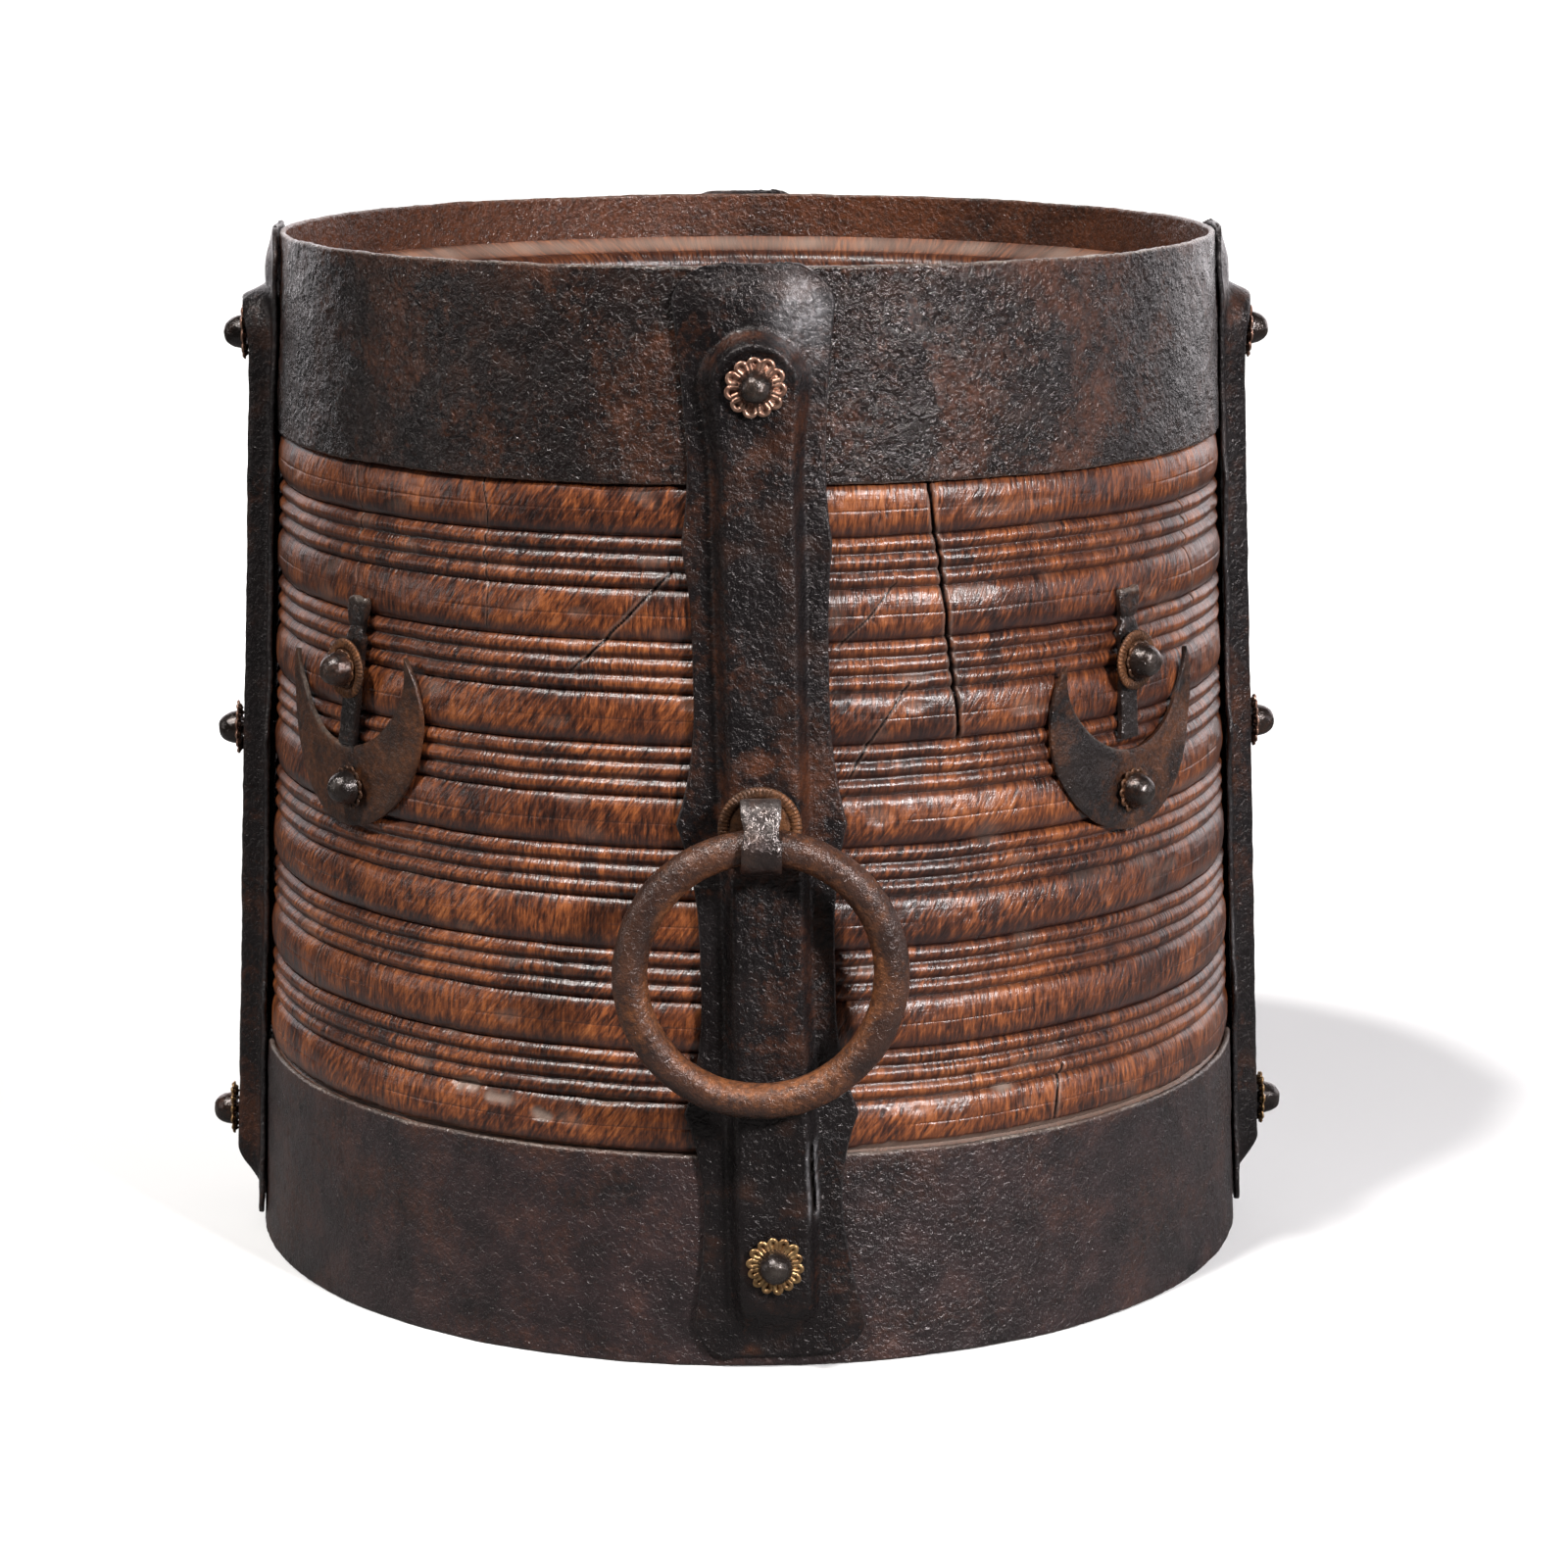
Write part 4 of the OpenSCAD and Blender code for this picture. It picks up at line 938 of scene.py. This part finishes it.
def crescentShape(k, turn, seed):
    look = crescent
    outer, inner, rise = look["outer"], look["inner"], look["rise"]
    centre = look["low"] + outer
    hornZ = (outer ** 2 - inner ** 2 + rise ** 2) / (2 * rise)
    hornX = math.sqrt(outer ** 2 - hornZ ** 2)
    outerTip = math.atan2(hornZ, hornX)
    innerTip = math.atan2(hornZ - rise, hornX)
    t = np.linspace(0, 1, look["along"])[:, None]
    t = 0.5 - 0.5 * np.cos(math.pi * t) * (1 - 0.15 * np.sin(math.pi * t))
    outerTurn = -math.pi - outerTip + (math.pi + 2 * outerTip) * t
    innerTurn = -math.pi - innerTip + (math.pi + 2 * innerTip) * t
    v = np.linspace(0, 1, look["across"])[None]
    x = outer * np.cos(outerTurn) * (1 - v) + inner * np.cos(innerTurn) * v
    z = centre + outer * np.sin(outerTurn) * (1 - v) + (rise + inner * np.sin(innerTurn)) * v
    horn = ease((np.abs(2 * t - 1) - 0.55) / 0.45)
    tilt = math.radians(look["tilt"][k])
    c, s, up = math.cos(tilt), math.sin(tilt), z - centre
    x, up = x * c - up * s, x * s + up * c
    x, z = x + look["aside"][k], up + centre
    spot = np.stack([x, z, np.full(x.shape, turn * 60)], -1)
    lift = look["hornLift"] * horn ** 2 + swells(spot, seed, (0.25, 9), (0.12, 3))
    grid = bent(x, z, look["seat"] + look["iron"] + lift)
    edge = ease((v - 0.95) / 0.05) * 0.45 * (0.5 + 0.5 * lumps(spot, 8, seed + 2)) * (x < 0)
    rust = 0.5 * ease(lumps(spot, 12, seed + 3) + 0.4)
    marks = {"wearAndPaintedGlint": edge[:, ::-1], "rust": rust[:, ::-1]}
    return turnShape(turn, slab(grid[:, ::-1], look["iron"], marks, False, 0.4))


def postStart():
    return crescent["low"] + crescent["outer"] + crescent["rise"] - crescent["inner"] + post["lift"]


def postShape(k, turn, seed):
    look = post
    start = postStart() + look["drop"][k]
    t = np.linspace(0, 1, look["rows"])
    z = start + look["height"] * t
    half = look["width"] / 2 * (0.88 + 0.04 * t)
    half = half + 0.9 * hump(t - 0.93, 0.075) - 1.0 * hump(t - 0.79, 0.035) + 0.9 * hump(t - 0.70, 0.04)
    half = half + 0.4 * hump(t - 0.02, 0.05)
    u = np.linspace(-1, 1, look["across"])
    x = u[None] * half[:, None]
    zz = np.repeat(z[:, None], len(u), 1)
    spot = np.stack([x, zz, np.full(x.shape, turn * 60)], -1)
    zz = zz + 1.1 * ease((t - 0.93) / 0.07)[:, None] * (lumps(spot * [1, 0, 1], 2.4, seed + 4) - 0.6)
    x = x + 0.3 * lumps(spot * [0, 1, 1], 6, seed) + look["aside"][k]
    x = x + (zz - start - look["height"] * look["discShare"]) * math.tan(math.radians(look["lean"][k]))
    lift = swells(spot, seed + 1, (0.2, 5), (0.12, 2))
    lift = lift - 0.8 * hump(t - 0.8, 0.02)[:, None] - 0.3 * (u[None] ** 4)
    grid = bent(x, zz, crescent["seat"] + look["iron"] + lift)
    wearAndPaintedGlint = 0.5 * ease((t - 0.95) / 0.05)[:, None] * (0.5 + 0.5 * lumps(spot, 2, seed + 3))
    marks = {"wearAndPaintedGlint": wearAndPaintedGlint, "groove": 0.7 * hump(t - 0.8, 0.02)[:, None]}
    return turnShape(turn, slab(grid, look["iron"], marks, False, 0.45))


def buildCrescents(brownPlate, darkPlate, nailIron, washer):
    nailHeads, petals, discs, smallDiscs, postHeads = [], [], [], [], []
    for k, degrees in enumerate(crescent["corners"]):
        turn = math.radians(degrees)
        seed = 300 + 20 * k
        discZ = postStart() + post["drop"][k] + post["height"] * post["discShare"]
        plate = brownPlate if crescentNodes[k].endswith("left") else darkPlate
        addPiece(crescentNodes[k] + "_cut", [crescentNodes[k]], plate, [crescentShape(k, turn, seed)])
        addPiece(postNodes[k] + "_cut", [postNodes[k]], darkPlate, [postShape(k, turn, seed + 10)])
        seat = hoopRadius(crescent["nail"] - 11) + crescent["seat"] + crescent["iron"] + 0.15
        spot = outward(turn, seat, 0, crescent["nail"])
        petals.append(spinned(petalShape(crescent["rosette"], 12, 0.8, 0.9, seed, 0.9), 0.3 * k, spot))
        spot = outward(turn, seat + 1.2, 0, crescent["nail"])
        nailHeads += [place(shape, spot) for shape in nailShape(nail["short"], False, seed)]
        seat = hoopRadius(discZ - post["disc"]) + crescent["seat"] + post["iron"] + 0.15
        disc = discShape(post["disc"], post["discIron"], post["teeth"], seed)
        discs.append(place(disc, outward(turn, seat, post["aside"][k], discZ)))
        small = petalShape(post["small"], 9, 0.2, 0.9, seed + 1, 0.9)
        smallDiscs.append(place(small, outward(turn, seat + 1.5, post["aside"][k], discZ)))
        spot = outward(turn, seat + 3.0, post["aside"][k], discZ)
        postHeads += [place(shape, spot) for shape in nailShape(nail["short"], False, seed + 5, 0.62)]
    addPiece("crescent_nails_forged", ["crescent_nails"], nailIron, nailHeads)
    for node, made, shapes in (("crescent_rosettes", "stamped", petals), ("post_washers", "milled", discs),
                               ("post_rosettes", "milled", smallDiscs)):
        addPiece(node + "_" + made, [node], washer, shapes, sharp=80)
    addPiece("post_nails_forged", ["post_nails"], nailIron, postHeads)
    print("crescents")


ring = {"around": 260, "section": 44, "hammer": 0.2}
eye = {"iron": 2.2, "wide": 15.0, "rise": 9.0, "step": 2.5, "radius": 7.82, "foot": 9.0, "across": 22,
       "along": 230, "teeth": 60}


def ringShape(box, seed):
    low, high = [corner * mm for corner in box]
    centre = (low + high) / 2
    barRadius = (high.y - low.y) / 2
    radius = (high.z - low.z) / 2 - barRadius
    a = np.linspace(0, 2 * math.pi, ring["around"], endpoint=False)[:, None]
    b = np.linspace(0, 2 * math.pi, ring["section"], endpoint=False)[None]
    spot = np.stack([(radius + barRadius * np.cos(b)) * np.cos(a), barRadius * np.sin(b) + 0 * a,
                     (radius + barRadius * np.cos(b)) * np.sin(a)], -1)
    bar = barRadius - 0.3 + swells(spot, seed, (ring["hammer"], 12), (0.14, 4), (0.05, 1.8))
    bar = bar - 0.2 * hump(a - math.pi / 2, 0.2)
    out = radius + bar * np.cos(b)
    grid = np.stack([centre.x + out * np.cos(a), centre.y + bar * np.sin(b), centre.z + out * np.sin(a)], -1)
    rust = np.clip(0.65 * ease((-np.cos(b) - 0.2) / 0.6) + 0 * a + 0.25 * lumps(spot, 15, seed + 3), 0, 1)
    return closedGrid(grid, {"rust": rust})


def eyePath(ringOut, hingeZ, wallIn):
    look = eye
    half = look["iron"] / 2
    middle = hingeZ + look["rise"] / 2
    wide, tight = look["radius"] + half, look["radius"] - look["step"] + half
    path = [(wallIn - half, middle - look["foot"] - half), (wallIn - half, middle - half - 1.2),
            (wallIn + 1.2, middle - half), (ringOut - wide + 0.4, middle - half),
            (ringOut - wide, middle - half - 1.4)]
    lower = np.radians(np.arange(182, 372, 10))
    path += [(ringOut + wide * math.cos(a), hingeZ + wide * math.sin(a)) for a in lower]
    upper = np.radians(np.arange(14, 175, 12))
    tightOut, tightZ = ringOut - look["step"], hingeZ + look["rise"]
    path += [(tightOut + tight * math.cos(a), tightZ + tight * math.sin(a)) for a in upper]
    path += [(ringOut - wide, middle + half + 1.4), (ringOut - wide - 0.6, middle + half),
             (wallIn + 1.2, middle + half), (wallIn - half, middle + half + 1.2),
             (wallIn - half, middle + half + look["foot"])]
    return np.array(path)


def resampled(path, count):
    length = np.concatenate([[0], np.cumsum(np.linalg.norm(np.diff(path, axis=0), axis=1))])
    t = np.linspace(0, length[-1], count)
    return np.stack([np.interp(t, length, path[:, k]) for k in range(path.shape[1])], -1)


def eyeShape(turn, seed):
    low, high = [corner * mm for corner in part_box("ring_front")]
    ringOut = abs((low.y + high.y) / 2)
    hingeZ = high.z - (high.y - low.y) / 2
    x0 = (low.x + high.x) / 2
    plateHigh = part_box("eye_plate_front")[1] * mm
    path = resampled(eyePath(ringOut, hingeZ, abs(plateHigh.y) - 0.2), eye["along"])
    u = np.linspace(-1, 1, eye["across"])
    loop = ease((path[:, 0] - ringOut + 14) / 4)
    half = eye["wide"] / 2 * (1 - 0.14 * loop * hump(path[:, 1] - hingeZ - 6.5, 3.5)) - 0.4
    x = x0 + u[None] * half[:, None]
    out = np.repeat(path[:, :1], len(u), 1)
    z = np.repeat(path[:, 1:], len(u), 1)
    grid = np.stack([x, -out, z], -1)
    normal = gridNormals(grid)
    half = eye["iron"] / 2
    spot = np.stack([x, out, z], -1)
    dent = swells(spot, seed, (0.16, 5), (0.08, 2))
    grid = grid + normal * (half + dent * loop[:, None])[..., None]
    # the loop's colour is lighter towards its top
    wearAndPaintedGlint = loop[:, None] * 0.45 * ease((z - hingeZ - 2) / 8) * (0.65 + 0.35 * lumps(spot, 2.5, seed + 2))
    rust = loop[:, None] * 0.7 * ease((lumps(spot, 5, seed + 3) - 0.1) / 0.5) * (u[None] < 0)
    return turnShape(turn, slab(grid, eye["iron"], {"wearAndPaintedGlint": wearAndPaintedGlint, "rust": rust}, False, 0.55))


def eyePlateShape(turn, seed):
    low, high = [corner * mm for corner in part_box("eye_plate_front")]
    x = np.linspace(low.x, high.x, 30)
    z = np.linspace(low.z, high.z, 30)
    zz, xx = np.meshgrid(z, x, indexing="ij")
    spot = np.stack([xx, 0 * xx, zz], -1)
    yy = high.y - 0.1 - 0.12 * (1 + lumps(spot, 4, seed))
    xx = xx + 0.5 * lumps(spot * [0, 0, 1], 5, seed + 1)
    grid = np.stack([xx, yy, zz], -1)[:, ::-1]
    return turnShape(turn, slab(grid, high.y - low.y - 0.3, {"rust": 0.6}, False, 0.4))


def buildRings(ringIron, eyeIron, washer, plate):
    for side, turn in (("front", 0.0), ("back", math.pi)):
        seed = 400 if side == "front" else 450
        ringNode = "ring_" + side
        shape = ringShape(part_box(ringNode), seed)
        addPiece(ringNode + "_forged", [ringNode], ringIron, [shape], side + "_ring")
        addPiece("eye_" + side + "_bent", ["eye_" + side], eyeIron, [eyeShape(turn, seed + 5)])
        low, high = [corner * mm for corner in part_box("eye_washer_front")]
        spot = outward(0.0, -high.y, (low.x + high.x) / 2, (low.z + high.z) / 2)
        disc = discShape((high.z - low.z) / 2, high.y - low.y, eye["teeth"], seed + 12)
        disc = turnShape(turn, place(disc, spot))
        addPiece("eye_washer_" + side + "_milled", ["eye_washer_" + side], washer, [disc], sharp=80)
        addPiece("eye_plate_" + side + "_cut", ["eye_plate_" + side], plate, [eyePlateShape(turn, seed + 20)])
    print("rings")


strapFinish = ironFinish("strap_iron", strapLook)
plateFinish = ironFinish("plate_iron", plateLook)
nailFinish = ironFinish("nail_iron", nailLook)
washerFinish = ironFinish("washer_iron", washerLook)
copperPetals = copperFinish("rosette_copper", copperLook)
buildWall()
buildBoard()
buildHoop(hoops["rim"], ironFinish("hoop_iron", hoopLook))
buildHoop(hoops["base"], ironFinish("base_iron", baseLook))
print("hoops")
buildStraps(strapFinish)
buildStrapNails(nailFinish, copperPetals)
darkPlateFinish = ironFinish("dark_plate_iron", darkPlateLook)
buildCrescents(plateFinish, darkPlateFinish, nailFinish, washerFinish)
buildRings(ironFinish("ring_iron", ringLook), ironFinish("eye_iron", eyeLook), washerFinish, plateFinish)


studio = {
    # the floor as it is seen, what it throws back near the drum and far from it, its own glow, and the
    # distances between which these change
    "floorSide": 30.0, "floorShown": 0.88, "bounceNear": 0.17, "bounceFar": 0.05, "bounceReach": (0.45, 0.9),
    "glowNear": 0.04, "glowFar": 0.4, "glowReach": (0.5, 1.5), "world": 0.025,
    "key": {"toward": (-0.38, -0.36, 0.85), "strength": 3.2, "spread": 7.0, "colour": (1.0, 0.98, 0.955)},
    # where each softbox stands, what it points at, its size, power and colour
    "softboxes": {
        "right": ((1.15, -1.7, 1.2), (0, 0, 0.25), (0.36, 0.36), 58, (1.0, 0.98, 0.99)),
        "rightLow": ((2.4, -0.35, 0.5), (0, 0, 0.22), (0.5, 1.0), 5, (0.96, 0.94, 1.0)),
        "left": ((-2.4, -0.2, 0.7), (0, 0, 0.2), (0.4, 1.0), 6, (1.0, 0.97, 0.96)),
        "behind": ((0.5, 2.5, 1.0), (0, 0, 0.3), (6.5, 1.9), 76, (1.0, 0.96, 0.99)),
    },
    "cameraDistance": 1.6309, "cameraHeight": 0.5204, "cameraTurn": -1.65, "cameraAside": 0.49,
    "cameraDown": 12.01, "lens": 96.27,
}


def aimed(obj, target):
    away = obj.location - type(obj.location)(target)
    obj.rotation_euler = away.to_track_quat("Z", "Y").to_euler()


def buildStudio():
    scene = bpy.context.scene
    side = studio["floorSide"]
    corners = [(-side, -side, 0), (side, -side, 0), (side, side, 0), (-side, side, 0)]
    mesh = bpy.data.meshes.new("studio_floor")
    mesh.from_pydata(corners, [], [(0, 1, 2, 3)])
    finish, tree, shader = startFinish("floor_paper")
    seen = add(tree, "ShaderNodeLightPath").outputs["Is Camera Ray"]
    away = add(tree, "ShaderNodeVectorMath", {"operation": "LENGTH"}, {0: objectPlace(tree)}).outputs["Value"]
    bounceStops = list(zip(studio["bounceReach"], (studio["bounceNear"], studio["bounceFar"])))
    bounce = ramp(tree, away, bounceStops, "EASE")
    shown = mix(tree, seen, bounce, (studio["floorShown"],) * 3)
    nearer, farther = studio["glowReach"]
    glowStops = [(nearer / 2, studio["glowNear"]), (farther / 2, studio["glowFar"])]
    glow = ramp(tree, calc(tree, "MULTIPLY", away, 0.5), glowStops, "EASE")
    feed(tree, shader, {"Base Color": shown, "Roughness": 0.9, "Specular IOR Level": 0.0,
                        "Emission Color": (1, 1, 1, 1),
                        "Emission Strength": calc(tree, "MULTIPLY", seen, glow)})
    mesh.materials.append(finish)
    floor = bpy.data.objects.new("studio_floor", mesh)
    scene.collection.objects.link(floor)
    world = bpy.data.worlds.new("studio")
    world.use_nodes = True
    tree = world.node_tree
    seen = add(tree, "ShaderNodeLightPath").outputs["Is Camera Ray"]
    strength = calc(tree, "ADD", calc(tree, "MULTIPLY", seen, 1 - studio["world"]), studio["world"])
    tree.nodes["Background"].inputs["Color"].default_value = (1, 1, 1, 1)
    tree.links.new(strength, tree.nodes["Background"].inputs["Strength"])
    scene.world = world
    key = bpy.data.lights.new("key", "SUN")
    key.energy, key.color = studio["key"]["strength"], studio["key"]["colour"]
    key.angle = math.radians(studio["key"]["spread"])
    sun = bpy.data.objects.new("key", key)
    sun.location = studio["key"]["toward"]
    aimed(sun, (0, 0, 0))
    scene.collection.objects.link(sun)
    for name, (spot, target, size, power, colour) in studio["softboxes"].items():
        light = bpy.data.lights.new(name, "AREA")
        light.shape = "RECTANGLE"
        light.size, light.size_y = size
        light.energy = power
        light.color = colour
        lamp = bpy.data.objects.new(name, light)
        lamp.location = spot
        aimed(lamp, target)
        scene.collection.objects.link(lamp)
    camera = bpy.data.objects.new("camera", bpy.data.cameras.new("camera"))
    turn = math.radians(studio["cameraTurn"])
    distance = studio["cameraDistance"]
    camera.location = (distance * math.sin(turn), -distance * math.cos(turn), studio["cameraHeight"])
    tip, aside = math.radians(90 - studio["cameraDown"]), math.radians(studio["cameraAside"])
    camera.rotation_euler = (tip, 0, turn - aside)
    camera.data.lens = studio["lens"]
    camera.data.sensor_width = 36
    scene.collection.objects.link(camera)
    scene.camera = camera
    scene.view_settings.view_transform = "Standard"


buildStudio()
